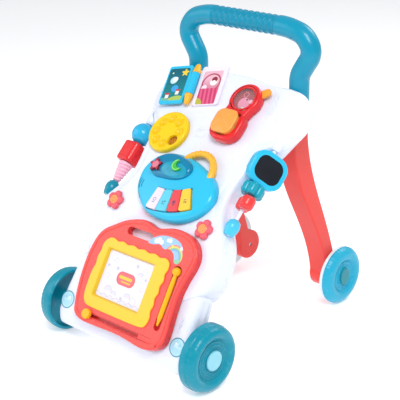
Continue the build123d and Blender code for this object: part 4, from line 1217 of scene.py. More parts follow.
def piano_height(u, v, share, rim):
    """Softly crowned top of the piano, with a wide round rim."""
    crown = 2.2 * max(0.0, 1 - ((u - 12) / 70) ** 2 - ((v + 96) / 50) ** 2)
    return PIANO_TOP - 1.4 + crown - rounded_rim(rim, 8.5)


def dome_height(u, v, share, rim):
    """Raised dark dome behind the keys."""
    crown = 3.0 * max(0.0, 1 - ((u + 8) / 42) ** 2 - ((v + 70) / 24) ** 2)
    return DOME_TOP - 3.2 + crown - rounded_rim(rim, 5.5)


class WALKER_OT_piano(bpy.types.Operator):
    """Piano unit: body, dome, buttons, keys and its ring handle"""

    bl_idname = "walker.piano"
    bl_label = "Piano unit"

    def execute(self, context):
        cyan = plastic("piano_plastic", colours().piano, 0.24, 0.25, 0.03, pattern=piano_painted_shade)
        body = mound(
            "piano_body", PLAY, spline(PIANO_RIM, 8), (12, -96), piano_height, 0.5, "piano", cyan, "cyan",
            ["piano_housing"], rings=30,
        )
        cut_with(body, *prism(PLAY, fan_outline(1.0), 5.4, 30))
        for radius in (14, 18, 22):
            slit = [
                (
                    -31 + (radius + side * 0.8) * cos(radians(a)),
                    -103 + (radius + side * 0.8) * sin(radians(a))
                )
                for side, angles in ((1, range(165, 216, 6)), (-1, range(213, 164, -6)))
                for a in angles
            ]
            cut_with(body, *prism(PLAY, slit, 9.0, 30))
        mound(
            "piano_dome_skin", PLAY, spline(DOME_RIM, 8), (-8, -70), dome_height, 9.0, "piano",
            plastic("dome_plastic", colours().dome, 0.2, 0.3, 0.03, pattern=dome_tints), "dark_teal",
            ["piano_dome"], rings=20,
        )
        give("piano_back", plastic("piano_back_plastic", colours().piano, 0.4, 0.05, 0.1))
        give("circuit_board", plastic("circuit_print", tint("1E6B3C"), 0.5, 0.1, 0.1))
        give("speaker", plastic("speaker_black", tint("1B1B1D"), 0.6, 0.0, 0.2))
        give("star_button", plastic("star_plastic", tint("B01E38"), 0.15, 0.35, 0.02, pattern=star_tints))
        give("moon_button", plastic("moon_plastic", tint("3FB848"), 0.15, 0.35, 0.02, pattern=moon_highlight_and_shade))
        self.keys()
        self.ring_handle()
        return {"FINISHED"}

    def keys(self):
        """Colours and small marks of the four keys."""
        tones = ("E9DDF3", "5CCDE6", "E5484F", "FFCB3E")
        inks = ("3C6E86", "2C7C94", "5A3B66", "6A6650")
        for number, (angle, tone, ink) in enumerate(zip(KEY_ANGLES, tones, inks), 1):
            u = FAN_U + (FAN_OUT - 13) * cos(radians(angle))
            v = FAN_V + (FAN_OUT - 13) * sin(radians(angle))
            face = PLAY.moved(u, v, 0, angle + 90)
            paint_key = key_marks(face, number, ink)
            give(
                f"key_{number}",
                plastic(f"key_{number}_plastic", tint(tone), 0.26, 0.5, 0.03, pattern=paint_key)
            )

    def ring_handle(self):
        """Ribbed yellow ring handle."""
        steps = 120
        path = []
        for i in range(steps + 1):
            a = radians(-18 + 196 * i / steps)
            path.append(PLAY.at(RING_U + RING_R * cos(a), RING_V + RING_R * sin(a), RING_H))

        def radius(share, angle):
            rib = 0.5 + 0.5 * sin(share * tau * 17 + angle)
            zone = min(1.0, max(0.0, 7 * min(share - 0.14, 0.86 - share)))
            return 5.1 - 0.75 * (rib**2) * zone

        yellow = plastic("ring_plastic", colours().ring, 0.33, 0.15, 0.06, scatter=0.1)
        pipe("ring_handle", path, radius, "piano", yellow, "pen_yellow", ["piano_handle"], 20, PLAY.out)


def piano_painted_shade(paint, base):
    """Painted shade: dark walls in the well of the keys and in the speaker's slits, and a darker cyan low down on the
    piano's sides.
    """
    u, v, out = paint.measure(PLAY)
    a, b = u - FAN_U, v - FAN_V
    away = reach(a, b)
    angle = paint.angle(a, b)
    radial = abs(away - (FAN_IN + FAN_OUT) / 2) - (FAN_OUT - FAN_IN) / 2 - 0.9
    turned = (abs(angle - radians((FAN_LOW + FAN_HIGH) / 2)) - radians((FAN_HIGH - FAN_LOW) / 2)) * away - 0.9
    # Painted shade: the walls and floor of the key well are painted a dark teal.
    well = inside(radial.most(turned), 0.4) * inside(out - 13.4, 0.6)
    base = paint.mix(well, base, opaque(tint("107F95")))
    slit_away = reach(u + 31.0, v + 103.0)
    # Painted shade: the speaker's slits are painted dark inside.
    slits = inside(slit_away - 24.0, 1.0) * inside(out - 11.5, 1.0)
    base = paint.mix(slits, base, opaque(tint("0F6F86")))
    # Painted shade: the piano's lowest few millimetres are painted a darker cyan.
    low = inside(out - 3.0, 4.0)
    return paint.mix(low * 0.5, base, opaque(tint("1FA5C6")))


def dome_tints(paint, base):
    """A lighter oval round the moon, with a few small bubbles in it."""
    u, v, _out = paint.measure(PLAY)
    oval = inside(reach((u - 2.0) / 22.0, (v + 75.0) / 11.5) - 1.0, 0.05)
    base = paint.mix(oval * 0.8, base, opaque(tint("1CA0BC")))
    for at_u, at_v, radius in (
        (-8, -77, 2.6), (-2, -80, 2.0), (-12, -81, 1.7), (1, -76, 1.4), (14, -80, 1.8)
    ):
        base = paint.mix(disc(u, v, at_u, at_v, radius) * 0.5, base, opaque(tint("0E7F9B")))
    return base


def star_tints(paint, base):
    """Pink middle of the star and its dark rim."""
    u, v, _out = paint.measure(PLAY)
    a, b = u - STAR_U, v - STAR_V
    away = reach(a, b)
    swing = (paint.angle(a, b) * 5.0 - radians(90 + 12) * 5.0 + pi / 2).wave()
    rim = inside(-(away - (7.6 + swing * 2.0)), 0.6)
    base = paint.mix(inside(away - 5.6, 2.0) * 0.75, base, opaque(tint("E88CA4")))
    return paint.mix(rim, base, opaque(tint("5A0F22")))


def moon_highlight_and_shade(paint, base):
    """Painted highlight along the moon's inner curve, and painted shade on its lowest part, next to the dome."""
    u, v, out = paint.measure(PLAY)
    # Painted highlight: a bright ring along the moon's inner curve.
    glow = ring(u, v, MOON_U, MOON_V, 7.4, 1.6, 1.2)
    base = paint.mix(glow * 0.8, base, opaque(tint("9BE87A")))
    # Painted shade: darker green below 23.5 mm, next to the dome.
    return paint.mix(inside(out - 23.5, 1.0) * 0.5, base, opaque(tint("1F7F3A")))


def key_marks(face, number, ink):
    """A small plain mark for one key: a ring, dots and bars, one kind for each key."""

    def pattern(paint, base):
        u, v, _out = paint.measure(face)
        colour = opaque(tint(ink))
        if number == 1:
            mark = ring(u, v, 0.0, 1.4, 2.3, 1.0).most(bar(u, v, 0.0, -3.2, 2.6, 0.6))
        elif number == 2:
            mark = disc(u, v, -1.5, 0.0, 1.5).most(disc(u, v, 1.7, 1.2, 1.5)).most(
                bar(u, v, 0.0, -3.0, 3.0, 0.6)
            )
        elif number == 3:
            mark = bar(u, v, 0.0, 0.5, 2.6, 2.2, 0.8).most(disc(u, v, 0.0, -3.8, 1.4))
        else:
            mark = bar(u, v, -1.0, 0.0, 0.6, 3.0).most(disc(u, v, 1.6, -1.4, 1.6)).most(
                bar(u, v, 0.6, 2.6, 2.2, 0.6)
            )
        return paint.mix(mark * 0.85, base, colour)

    return pattern


# ---------------------------------------------------------------- dial
DIAL_R, DIMPLE_RING, DIMPLE_R, DIMPLES = 33.5, 20.8, 7.4, 8
DEEP_ANGLE = radians(325)


def dial_height(u, v, share, rim):
    """Round dial with smooth finger dimples and one deep hole."""
    high = 7.9 - rounded_rim(rim, 3.6)
    low = 0.0
    for k in range(DIMPLES):
        angle = DEEP_ANGLE + tau * k / DIMPLES
        du, dv = u - DIMPLE_RING * cos(angle), v - DIMPLE_RING * sin(angle)
        near = hypot(du, dv)
        if k == 0:
            low = max(low, 6.4 * (1 - max(0.0, min(1.0, (near - 7.2) / 1.2))))
        elif near < DIMPLE_R:
            low = max(low, 5.0 * (1 - (near / DIMPLE_R) ** 2) ** 0.75)
    return high - low


class WALKER_OT_dial(bpy.types.Operator):
    """Telephone dial with finger dimples"""

    bl_idname = "walker.dial"
    bl_label = "Telephone dial"

    def execute(self, context):
        yellow = plastic("dial_plastic", colours().dial, 0.3, 0.17, 0.05, pattern=dial_hole_and_dimple_shade)
        outline = circle(0, 0, DIAL_R, 160)
        mound(
            "dial_face", DIAL, outline, (0, 0), dial_height, 0.5, "dial", yellow, "bezel_yellow",
            ["phone_dial"], rings=64
        )
        give("dial_hub", plastic("dial_hub_plastic", colours().dial, 0.35, 0.1, 0.1))
        return {"FINISHED"}


def dial_hole_and_dimple_shade(paint, base):
    """Brown striped disc at the bottom of the deep hole, and painted shade: deeper yellow low down in the dimples and
    on the dial's side.
    """
    u, v, out = paint.measure(DIAL)
    deep = disc(u, v, DIMPLE_RING * cos(DEEP_ANGLE), DIMPLE_RING * sin(DEEP_ANGLE), 8.4, 0.8)
    # Painted shade: everything below 5.4 mm, in the dimples and down the side, is a deeper yellow.
    low = inside(out - 5.4, 3.0)
    base = paint.mix(low * 0.45, base, opaque(tint("DDB200")))
    stripes = ((u * 1.6 + v * 0.6).wave() * 0.5 + 0.5).held()
    brown = paint.mix(stripes, opaque(tint("A8641E")), opaque(tint("C98A2C")))
    return paint.mix(deep * inside(out - 4.4, 1.0), base, brown)


# ---------------------------------------------------------------- book
class WALKER_OT_book(bpy.types.Operator):
    """Book with one printed page that turns, its spine and the leaf under it"""

    bl_idname = "walker.book"
    bl_label = "Book"

    def execute(self, context):
        give("book_page", plastic("page_plastic", colours().piano, 0.28, 0.2, 0.04, pattern=night_print))
        give("book_leaf", plastic("leaf_plastic", tint("EDE6F4"), 0.3, 0.15, 0.04, pattern=bed_print))
        amber = plastic("spine_plastic", tint("F5B526"), 0.3, 0.17, 0.05)
        ends = []
        for low, high, tip in ((-18.0, -34.3, -1), (19.5, 35.3, 1)):
            profile = [
                (low, 6.3), (low + tip * 3.0, 6.3), (low + tip * 3.6, 5.9), (low + tip * 11, 4.6),
                (high - tip, 3.4), (high, 2.4)
            ]
            points, faces = lathe_points(BOOK.at(0, 0, 7.0), BOOK.up, profile, 40)
            ends.append((points, faces))
        pin = [(-18.0, 1.8), (19.5, 1.8)]
        ends.append(lathe_points(BOOK.at(0, 0, 7.0), BOOK.up, pin, 24))
        join_mesh("book_spine_ends", ends, "frame", amber, "pen_yellow", ["book_posts"])
        return {"FINISHED"}


def lathe_points(origin, axis, profile, around):
    """Points and faces turned about an axis, closed at both ends."""
    axis = Vector(axis).normalized()
    side = axis.orthogonal().normalized()
    rise = axis.cross(side)
    points = []
    for length, r in profile:
        for j in range(around):
            angle = tau * j / around
            points.append(origin + axis * (length * MM) + (side * cos(angle) + rise * sin(angle)) * (r * MM))
    faces = strips(len(profile), around, closed_columns=True)
    faces.append(tuple(range(around - 1, -1, -1)))
    faces.append(tuple(range((len(profile) - 1) * around, len(profile) * around)))
    return points, faces


def night_print(paint, base):
    """Night sky with a star, a moon, hills and two small houses, in a light blue border."""
    u, v, _out = paint.measure(BOOK)
    picture = bar(u, v, -30.0, 1.5, 18.0, 28.5, 3.0)
    sky = paint.mix(inside(v - 6.0, 40.0), opaque(tint("0C5F72")), opaque(tint("137F86")))
    sky = paint.mix(star_mask(paint, u, v, -19.0, 22.0, 6.5), sky, opaque(tint("F0CE3C")))
    sky = paint.mix(disc(u, v, -35.5, 9.0, 6.2), sky, opaque(tint("BFE0F2")))
    sky = paint.mix(disc(u, v, -33.0, 10.5, 4.6), sky, opaque(tint("E6F2FA")))
    sky = paint.mix(disc(u, v, -29.0, -6.0, 6.0), sky, opaque(tint("3AA0E0")))
    sky = paint.mix(disc(u, v, -41.0, 22.0, 1.5), sky, opaque(tint("CFE8C8")))
    sky = paint.mix(disc(u, v, -20.0, -46.0, 27.0), sky, opaque(tint("A9C25E")))
    sky = paint.mix(disc(u, v, -46.0, -42.0, 20.0), sky, opaque(tint("6FB59A")))
    for at_u, at_v in ((-39.0, -19.5), (-22.5, -13.5)):
        sky = paint.mix(bar(u, v, at_u, at_v, 3.0, 3.4), sky, opaque(tint("F4E6E2")))
        sky = paint.mix(bar(u, v, at_u, at_v + 4.4, 4.4, 1.5, 0.7), sky, opaque(tint("C7323C")))
    return paint.mix(picture * inside(abs(u + 29.0) - 20.4), base, sky)


def bed_print(paint, base):
    """Pink blanket with stripes, a pillow and a lamp on the white leaf."""
    u, v, _out = paint.measure(BOOK)
    picture = bar(u, v, 29.5, -4.5, 16.5, 29.0, 2.5)
    stripes = ((u * 0.9 + v * 0.12).wave() * 1.6 + 0.5).held()
    blanket = paint.mix(stripes, opaque(tint("C93A68")), opaque(tint("E0638A")))
    room = paint.mix(inside(v - 4.0, 14.0), opaque(tint("E9B5C6")), opaque(tint("D98AA0")))
    room = paint.mix(ring(u, v, 30.0, 4.0, 15.0, 2.4), room, opaque(tint("B5465E")))
    room = paint.mix(disc(u, v, 34.0, 5.0, 6.4), room, opaque(tint("F6EDEE")))
    room = paint.mix(disc(u, v, 34.5, 9.0, 5.0), room, opaque(tint("8E3340")))
    room = paint.mix(disc(u, v, 34.0, 4.0, 3.8), room, opaque(tint("F8F0EA")))
    room = paint.mix(disc(u, v, 20.0, -4.0, 4.4), room, opaque(tint("F3D9E4")))
    room = paint.mix(inside(v + 6.0, 0.4), room, blanket)
    room = paint.mix(disc(u, v, 12.0, -34.0, 12.0), room, opaque(tint("B7B548")))
    return paint.mix(picture, base, room)


# ---------------------------------------------------------------- window unit
def peek_outline():
    """Outline of the two lobes of the window unit."""
    up = [
        (LOBE_UP[0] + 25 * cos(radians(a)), LOBE_UP[1] + 25 * sin(radians(a))) for a in (
            -35, 5, 45, 90, 135, 175, 210
        )
    ]
    down = [
        (LOBE_DOWN[0] + 23.5 * cos(radians(a)), LOBE_DOWN[1] + 23.5 * sin(radians(a)))
        for a in (150, 190, 230, 270, 310, 350, 387)
    ]
    return spline(up + down, 8)


# Heights on the push knob, with its half side at each: it swells only above what 4 mm of travel takes in.
KNOB_ROWS = [(6.8, 17.3), (20.4, 17.4), (20.8, 18.3), (21.4, 18.9), (22.1, 19.0), (22.9, 18.5), (23.7, 17.3)]
KNOB_ROWS += [(24.4, 15.2), (25.0, 12.4), (25.4, 9.2), (25.7, 5.8), (25.8, 2.4)]


def knob_points():
    """Points and faces of the push knob, whose top has four soft facets."""
    points, rows = [], KNOB_ROWS
    for h, half in rows:
        outline = rounded_box(*LOBE_DOWN, half, half, half * 0.62, 10)
        for u, v in outline:
            a, b = abs(u - LOBE_DOWN[0]), abs(v - LOBE_DOWN[1])
            facet = 0.9 * max(0.0, 1 - abs(a - b) / half) * (h > 23)
            points.append(PLAY.at(u, v, h - facet))
    count = len(points) // len(rows)
    faces = strips(len(rows), count, closed_columns=True)
    faces.append(tuple(range(count)))
    faces.append(tuple(range((len(rows) - 1) * count, len(rows) * count)))
    return points, faces


class WALKER_OT_window_unit(bpy.types.Operator):
    """Red window unit with its clear window, swinging picture and push knob"""

    bl_idname = "walker.window_unit"
    bl_label = "Window unit"

    def execute(self, context):
        red = plastic("window_unit_plastic", colours().red, 0.24, 0.25, 0.03, scatter=0.05)
        knob_hole = rounded_box(*LOBE_DOWN, 17.9, 17.9, 12.0)
        window_hole = circle(*LOBE_UP, 17.4)
        plate(
            "window_case", PLAY, [peek_outline(), window_hole, knob_hole], 0.2, 16.0, 4.0, "frame", red,
            "red", ["peek_housing"]
        )
        lip = [
            PLAY.at(LOBE_UP[0] + 18.6 * cos(tau * i / 96), LOBE_UP[1] + 18.6 * sin(tau * i / 96), 15.4) for i in range(
                97
            )
        ]
        pipe("window_rim", lip, lambda share, angle: 1.5, "frame", red, "red", (), 14, PLAY.out)

        def lens_height(u, v, share, rim):
            return 14.9 + 1.0 * max(0.0, 1 - share**2)

        mound(
            "window_lens", PLAY, circle(*LOBE_UP, 17.3), LOBE_UP, lens_height, 13.0, "frame",
            clear_plastic("window_clear_plastic"), "window_clear", ["peek_window"], rings=10,
        )
        give("peek_lever", plastic("lever_plastic", tint("F2A23A"), 0.3, 0.17, 0.05, pattern=lever_print))
        orange = plastic("knob_plastic", colours().knob, 0.34, 0.15, 0.05, scatter=0.1)
        finish_piece("push_knob", *knob_points(), "knob", orange, "knob_orange", ["peek_knob"], radians(50))
        return {"FINISHED"}


def lever_print(paint, base):
    """Pink hill, pale flower and green ground on the disc behind the window."""
    u, v, _out = paint.measure(PLAY.moved(*LOBE_UP))
    on_disc = disc(u, v, 0.0, 0.0, 19.3)
    scene = paint.mix(inside(v - 2.0, 22.0), opaque(tint("8E1428")), opaque(tint("B02A44")))
    scene = paint.mix(disc(u, v, -1.0, -5.0, 9.5), scene, opaque(tint("E58CAB")))
    scene = paint.mix(disc(u, v, 9.0, 0.0, 3.2), scene, opaque(tint("F0B9CB")))
    scene = paint.mix(disc(u, v, 1.5, 2.0, 1.7), scene, opaque(tint("30161E")))
    scene = paint.mix(ring(u, v, -4.0, 9.0, 4.0, 1.2), scene, opaque(tint("DE6A80")))
    scene = paint.mix(disc(u, v, 2.0, -20.0, 9.0), scene, opaque(tint("DDEBDD")))
    scene = paint.mix(disc(u, v, -2.0, -19.0, 6.5), scene, opaque(tint("4CA05A")))
    return paint.mix(on_disc, base, scene)


# ---------------------------------------------------------------- flowers
FLOWER_X, FLOWER_V = 86.5, -4.0


def fold_face():
    """Plane of the fold's crest."""
    out = (BOARD.out + PLAY.out).normalized()
    return Face(BOARD.at(0, FOLD_V), out)


def flower_outline(radius, petals, depth, turn, steps=120):
    """Outline of a flower with plump petals."""
    made = []
    for i in range(steps):
        angle = tau * i / steps
        wave = abs(cos(petals * (angle - turn) / 2)) ** 0.75
        r = radius - depth + depth * wave
        made.append((r * cos(angle), r * sin(angle)))
    return made


class WALKER_OT_flowers(bpy.types.Operator):
    """Two flower badges with spiral middles"""

    bl_idname = "walker.flowers"
    bl_label = "Flower badges"

    def execute(self, context):
        parts = []
        for side in (-1, 1):
            face = fold_face().moved(side * FLOWER_X, FLOWER_V, 0.3, 12)
            outline = flower_outline(14.6, 5, 4.4, 0.0)

            def height(u, v, share, rim):
                away, angle = hypot(u, v), atan2(v, u)
                petal = 4.1 - rounded_rim(rim, 3.0) - 0.6 * max(0.0, 1 - abs(away - 7.6) / 1.4)
                middle_disc = 0.9 * max(0.0, min(1.0, (7.0 - away) / 0.9))
                spiral = 0.32 * sin(away * 3.0 - angle) if away < 6.2 else 0.0
                return petal + middle_disc + spiral

            parts.append(mound_points(face, outline, (0, 0), height, -0.5, 36))
        pink = plastic("flower_plastic", colours().flower, 0.32, 0.17, 0.05, pattern=flower_tints)
        join_mesh("flower_mouldings", parts, "frame", pink, "flower_pink", ["flower_badges"])
        return {"FINISHED"}


def flower_tints(paint, base):
    """Yellow spiral in the middle of each flower."""
    for side in (-1, 1):
        u, v, _out = paint.measure(fold_face().moved(side * FLOWER_X, FLOWER_V, 0.3, 12))
        away = reach(u, v)
        swirl = ((away * 3.0 - paint.angle(u, v)).wave() * 1.8 + 0.5).held()
        patch = paint.mix(swirl, opaque(tint("E9695C")), opaque(tint("F3C45E")))
        base = paint.mix(inside(away - 6.6, 0.6), base, patch)
    return base


# ---------------------------------------------------------------- beads and mirror
def spindle(joint):
    """Centre and direction of a bead's joint."""
    return Vector(JOINTS[joint]["pos_m"]), Vector(JOINTS[joint]["axis"])


class WALKER_OT_left_beads(bpy.types.Operator):
    """Cone, block and ball on the left spindle, and the seat under them"""

    bl_idname = "walker.left_beads"
    bl_label = "Left beads"

    def execute(self, context):
        place, axis = spindle("cone_spin")
        profile = [(-15.2, 2.7), (-15.2, 4.6)]
        profile += [(-15.0 + 30.2 * i / 90, 5.2 + 6.0 * i / 90) for i in range(91)]
        profile += [(15.3, 10.4), (15.3, 2.7)]

        def ridges(length, angle):
            if abs(length) >= 15.0:
                return 0.0
            turn = (length / 5.2 - angle / tau) % 1.0
            return 1.5 * sin(pi * turn) ** 0.8 - 0.9

        pink = plastic("cone_plastic", colours().cone, 0.36, 0.15, 0.06, pattern=cone_groove_shade, scatter=0.15)
        lathe("cone_skin", place, axis, profile, "cone", pink, "pink", ["cone_bead"], 72, ridges)
        give("block_bead", plastic("block_plastic", colours().red, 0.3, 0.2, 0.06, pattern=block_groove_shade))
        give("ball_bead", plastic("ball_plastic", colours().ball, 0.22, 0.3, 0.03))
        give("lower_seat_left", plastic("seat_plastic", tint("0B8CA6"), 0.3, 0.2, 0.05))
        return {"FINISHED"}


def cone_groove_shade(paint, base):
    """Painted shade: deeper pink down in the cone's spiral groove."""
    place, axis = spindle("cone_spin")
    u, v, out = paint.measure(Face(place, axis, axis.orthogonal()))
    groove = (out / 5.2 - paint.angle(u, v) / tau).maths("FRACT", out / 5.2 - paint.angle(u, v) / tau)
    # Painted shade: the groove is painted a deeper pink.
    near = (abs(groove - 0.5) * 4.0 - 1.3).held()
    return paint.mix(near * 0.55, base, opaque(tint("DE7C9B")))


def block_groove_shade(paint, base):
    """Painted shade: slightly darker bands near the block's ends, for the shade in its grooves."""
    place, axis = spindle("block_spin")
    face = Face(place, axis)
    _u, _v, out = paint.measure(face)
    # Painted shade: dark bands where the block's grooves lie.
    band = inside(abs(abs(out + 0.8) - 11.0) - 0.5, 0.6)
    return paint.mix(band * 0.35, base, shade(colours().red, 0.6))


class WALKER_OT_right_beads(bpy.types.Operator):
    """Bean and flower beads, the mirror and the seat on the right spindle"""

    bl_idname = "walker.right_beads"
    bl_label = "Right beads and mirror"

    def execute(self, context):
        red = plastic("bean_plastic", tint("E8403F"), 0.27, 0.25, 0.05)
        teal = plastic("flower_bead_plastic", tint("0D9DB4"), 0.28, 0.23, 0.05)
        self.bean(red)
        self.flower(teal)
        give("lower_seat_right", plastic("right_seat_plastic", tint("4CC4E8"), 0.3, 0.2, 0.05))
        give("mirror_frame", plastic("mirror_frame_plastic", colours().piano, 0.24, 0.25, 0.03))
        # Painted reflection: the mirror's film is tinted near black to show a dark reflection; it stays a metallic
        # mirror.
        paint = Paint("mirror_dark_reflection")
        film = paint.noise(30.0, 2.0)
        paint.connect("Base Color", paint.mix(film, opaque(tint("34373F")), opaque(tint("4A4D55"))))
        paint.connect("Metallic", 1.0)
        paint.connect("Roughness", film * 0.03 + 0.04)
        give("mirror_glass", paint.material)
        return {"FINISHED"}

    def bean(self, material):
        """Bean-shaped bead with full round edges."""

        def reach_of(angle):
            ends = []
            for u, v in ((7.0, -6.0), (-7.0, 6.0)):
                along = u * cos(angle) + v * sin(angle)
                ends.append(along + sqrt(along**2 + 10.6**2 - u**2 - v**2))
            return (ends[0] ** 6 + ends[1] ** 6) ** (1 / 6) - 0.9

        self.bead("bean_skin", "bean_spin", reach_of, 9.8, 6.5, "bean", material, "red", "bean_bead")

    def flower(self, material):
        """Flower-shaped bead with full round edges."""

        def reach_of(angle):
            return 12.6 + 4.4 * abs(cos(3 * angle)) ** 0.8

        self.bead("flower_skin", "flower_spin", reach_of, 8.8, 5.0, "flower", material, "teal", "flower_bead")

    def bead(self, name, joint, reach_of, half, edge, body, material, slot, node):
        """Bead whose outline is a reach about its bore, with its ends rounded over."""
        face = self.bead_face(joint)
        rows = [(-half, None)]
        rows += [
            (-half + edge * (1 - cos(radians(t))), edge * (1 - sin(radians(t)))) for t in range(0, 91, 10)
        ]
        rows += [(-h, inset) for h, inset in rows[:0:-1]] + [(half, None)]
        around = 96
        points = []
        for h, inset in rows:
            for j in range(around):
                angle = tau * j / around
                r = 2.7 if inset is None else reach_of(angle) - inset
                points.append(face.at(r * cos(angle), r * sin(angle), h))
        faces = strips(len(rows), around, closed_rows=True, closed_columns=True)
        return finish_piece(name, points, faces, body, material, slot, [node], smooth=radians(60))

    def bead_face(self, joint):
        """Plane across a bead, with its x across the walker."""
        place, axis = spindle(joint)
        return Face(place, axis, (1, 0, 0))


# ---------------------------------------------------------------- stage
VIEW_AZIMUTH, VIEW_HEIGHT, VIEW_ROLL = 0.753990, 0.360026, -0.013806
VIEW_DISTANCE = 1.59874
AIM_FROM_MIDDLE = Vector((-0.01017, -0.0160, 0.19053))


class WALKER_OT_stage(bpy.types.Operator):
    """Pale floor, soft lights and the camera"""

    bl_idname = "walker.stage"
    bl_label = "Stage"

    def execute(self, context):
        self.floor()
        self.lights()
        self.camera()
        scene = context.scene
        scene.view_settings.view_transform = "Standard"
        scene.view_settings.look = "None"
        return {"FINISHED"}

    def floor(self):
        """Plain floor."""
        half = sizes().floor_half
        mesh = bpy.data.meshes.new("floor")
        mesh.from_pydata(
            [(-half, -half, 0), (half, -half, 0), (half, half, 0), (-half, half, 0)], [], [(0, 1, 2, 3)]
        )
        floor = bpy.data.objects.new("floor", mesh)
        bpy.context.scene.collection.objects.link(floor)
        paint = Paint("floor_paint")
        paint.connect(
            "Base Color", paint.mix(paint.noise(3.0), opaque(tint("F6F6F8")), opaque(tint("FAFAFB")))
        )
        paint.connect("Roughness", 0.75)
        paint.connect("Specular IOR Level", 0.15)
        paint.connect("Emission Color", (1.0, 1.0, 1.0, 1.0))
        paint.connect("Emission Strength", 0.3)
        mesh.materials.append(paint.material)

    def lights(self):
        """World light, and three soft lamps."""
        world = bpy.data.worlds.new("studio")
        bpy.context.scene.world = world
        world.use_nodes = True
        background = world.node_tree.nodes["Background"]
        background.inputs["Color"].default_value = (0.95, 0.975, 1.0, 1.0)
        background.inputs["Strength"].default_value = sizes().world_strength
        for name, place, power, size in (
            ("key", (1.1, -1.1, 2.0), sizes().key_power, 0.9),
            ("fill", (-1.5, -1.3, 1.1), sizes().key_power * 0.3, 1.4),
            ("rim", (0.3, 1.6, 1.7), sizes().key_power * 0.45, 1.0),
        ):
            lamp = bpy.data.lights.new(name, "AREA")
            lamp.energy = power
            lamp.size = size
            holder = bpy.data.objects.new(name, lamp)
            holder.location = place
            aim = Vector((0, 0, 0.22)) - Vector(place)
            holder.rotation_euler = aim.to_track_quat("-Z", "Y").to_euler()
            bpy.context.scene.collection.objects.link(holder)

    def camera(self):
        """Camera at the front and a little above, turned towards the walker's left side."""
        across = Vector((cos(VIEW_AZIMUTH), sin(VIEW_AZIMUTH), 0))
        back = Vector(
            (sin(VIEW_AZIMUTH) * cos(VIEW_HEIGHT), -cos(VIEW_AZIMUTH) * cos(VIEW_HEIGHT), sin(VIEW_HEIGHT))
        )
        up = back.cross(across)
        right = across * cos(VIEW_ROLL) + up * sin(VIEW_ROLL)
        top = up * cos(VIEW_ROLL) - across * sin(VIEW_ROLL)
        place = AIM_FROM_MIDDLE + back * VIEW_DISTANCE
        lens = bpy.data.cameras.new("camera")
        lens.lens = sizes().lens
        lens.sensor_width = 36.0
        camera = bpy.data.objects.new("camera", lens)
        camera.matrix_world = Matrix.Translation(place) @ Matrix((right, top, back)).transposed().to_4x4()
        bpy.context.scene.collection.objects.link(camera)
        bpy.context.scene.camera = camera


# ---------------------------------------------------------------- settings, panel and run
def colour_property(name, description, hexes):
    """One colour that a user may change."""
    return FloatVectorProperty(
        name=name, description=description, subtype="COLOR", size=3, min=0.0, max=1.0, default=tint(hexes)
    )


class WalkerColours(bpy.types.PropertyGroup):
    """Colours of the mouldings"""

    body: colour_property("Body", "Panel, base and back cover", "E7ECFD")
    leg: colour_property("Legs", "Both rear legs", "E8443C")
    wheel: colour_property("Front wheels", "Both front wheels", "008FA6")
    rear_wheel: colour_property("Rear wheels", "Both rear wheels", "22AACB")
    handle: colour_property("Handle", "Push handle", "0090B0")
    grip: colour_property("Grip", "Ribbed sleeve on the handle", "0089A9")
    board: colour_property("Board", "Drawing board's frame", "F9524C")
    bezel: colour_property("Bezel", "Drawing board's bezel", "FBC93C")
    pen: colour_property("Pen", "Pen and eraser", "F8B619")
    piano: colour_property("Piano", "Piano unit, book and mirror frame", "2CBEE6")
    dome: colour_property("Dome", "Dark dome on the piano unit", "007FA8")
    ring: colour_property("Ring handle", "Ribbed handle of the piano unit", "F9B93A")
    dial: colour_property("Dial", "Telephone dial", "F2CB10")
    red: colour_property("Red", "Window unit and block bead", "E22B30")
    knob: colour_property("Knob", "Push knob of the window unit", "F5A24C")
    flower: colour_property("Flowers", "Flower badges", "E8606E")
    cone: colour_property("Cone", "Spiral cone bead", "F9BBD0")
    ball: colour_property("Ball", "Ball bead", "27B2E0")


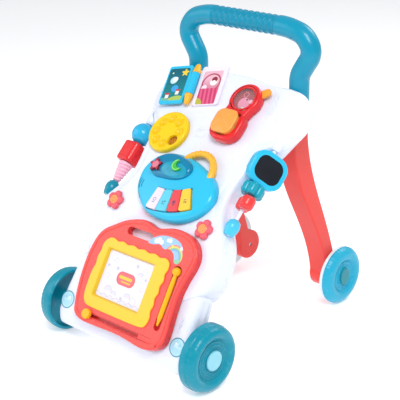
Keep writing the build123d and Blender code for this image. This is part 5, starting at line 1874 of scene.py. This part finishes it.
class WalkerSizes(bpy.types.PropertyGroup):
    """Sizes of the skins, and of the stage"""

    edge_radius: FloatProperty(
        name="Edge radius", description="Rounding of the panel's edge, in millimetres", default=8.0,
        min=2.0, max=12.0
    )
    base_radius: FloatProperty(
        name="Base edge", description="Rounding of the base's side edges, in millimetres", default=9.0,
        min=2.0, max=14.0
    )
    grip_ribs: IntProperty(
        name="Grip ribs", description="Ribs on the handle's sleeve", default=11, min=3, max=20
    )
    floor_half: FloatProperty(
        name="Floor", description="Half the floor's side", default=6.0, min=1.0, unit="LENGTH"
    )
    lens: FloatProperty(
        name="Lens", description="Focal length of the camera, in millimetres", default=98.7, min=20.0,
        max=200.0
    )
    world_strength: FloatProperty(
        name="World", description="Strength of the light from all round", default=0.52, min=0.0, max=3.0
    )
    key_power: FloatProperty(
        name="Key light", description="Power of the main lamp, in watts", default=34.0, min=0.0,
        max=400.0
    )


STEPS = (
    WALKER_OT_panel,
    WALKER_OT_base,
    WALKER_OT_legs,
    WALKER_OT_wheels,
    WALKER_OT_handle,
    WALKER_OT_board,
    WALKER_OT_piano,
    WALKER_OT_dial,
    WALKER_OT_book,
    WALKER_OT_window_unit,
    WALKER_OT_flowers,
    WALKER_OT_left_beads,
    WALKER_OT_right_beads,
    WALKER_OT_stage,
)


class WALKER_PT_sidebar(bpy.types.Panel):
    """Lists the walker's settings and its pieces"""

    bl_label = "Baby Walker"
    bl_idname = "WALKER_PT_sidebar"
    bl_space_type = "VIEW_3D"
    bl_region_type = "UI"
    bl_category = "Walker"

    def draw(self, context):
        for group in (context.scene.walker_sizes, context.scene.walker_colours):
            box = self.layout.box()
            for name in group.bl_rna.properties.keys():
                if name not in ("rna_type", "name"):
                    box.prop(group, name)
        for step in STEPS:
            self.layout.operator(step.bl_idname)


CLASSES = (WalkerColours, WalkerSizes, *STEPS, WALKER_PT_sidebar)


def register():
    for one in CLASSES:
        bpy.utils.register_class(one)
    bpy.types.Scene.walker_colours = PointerProperty(type=WalkerColours)
    bpy.types.Scene.walker_sizes = PointerProperty(type=WalkerSizes)


def unregister():
    del bpy.types.Scene.walker_sizes
    del bpy.types.Scene.walker_colours
    for one in reversed(CLASSES):
        bpy.utils.unregister_class(one)


def main():
    """Register the add-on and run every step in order."""
    register()
    for step in STEPS:
        group, name = step.bl_idname.split(".")
        getattr(getattr(bpy.ops, group), name)()
    bpy.context.view_layer.update()


if __name__ == "__main__":
    main()
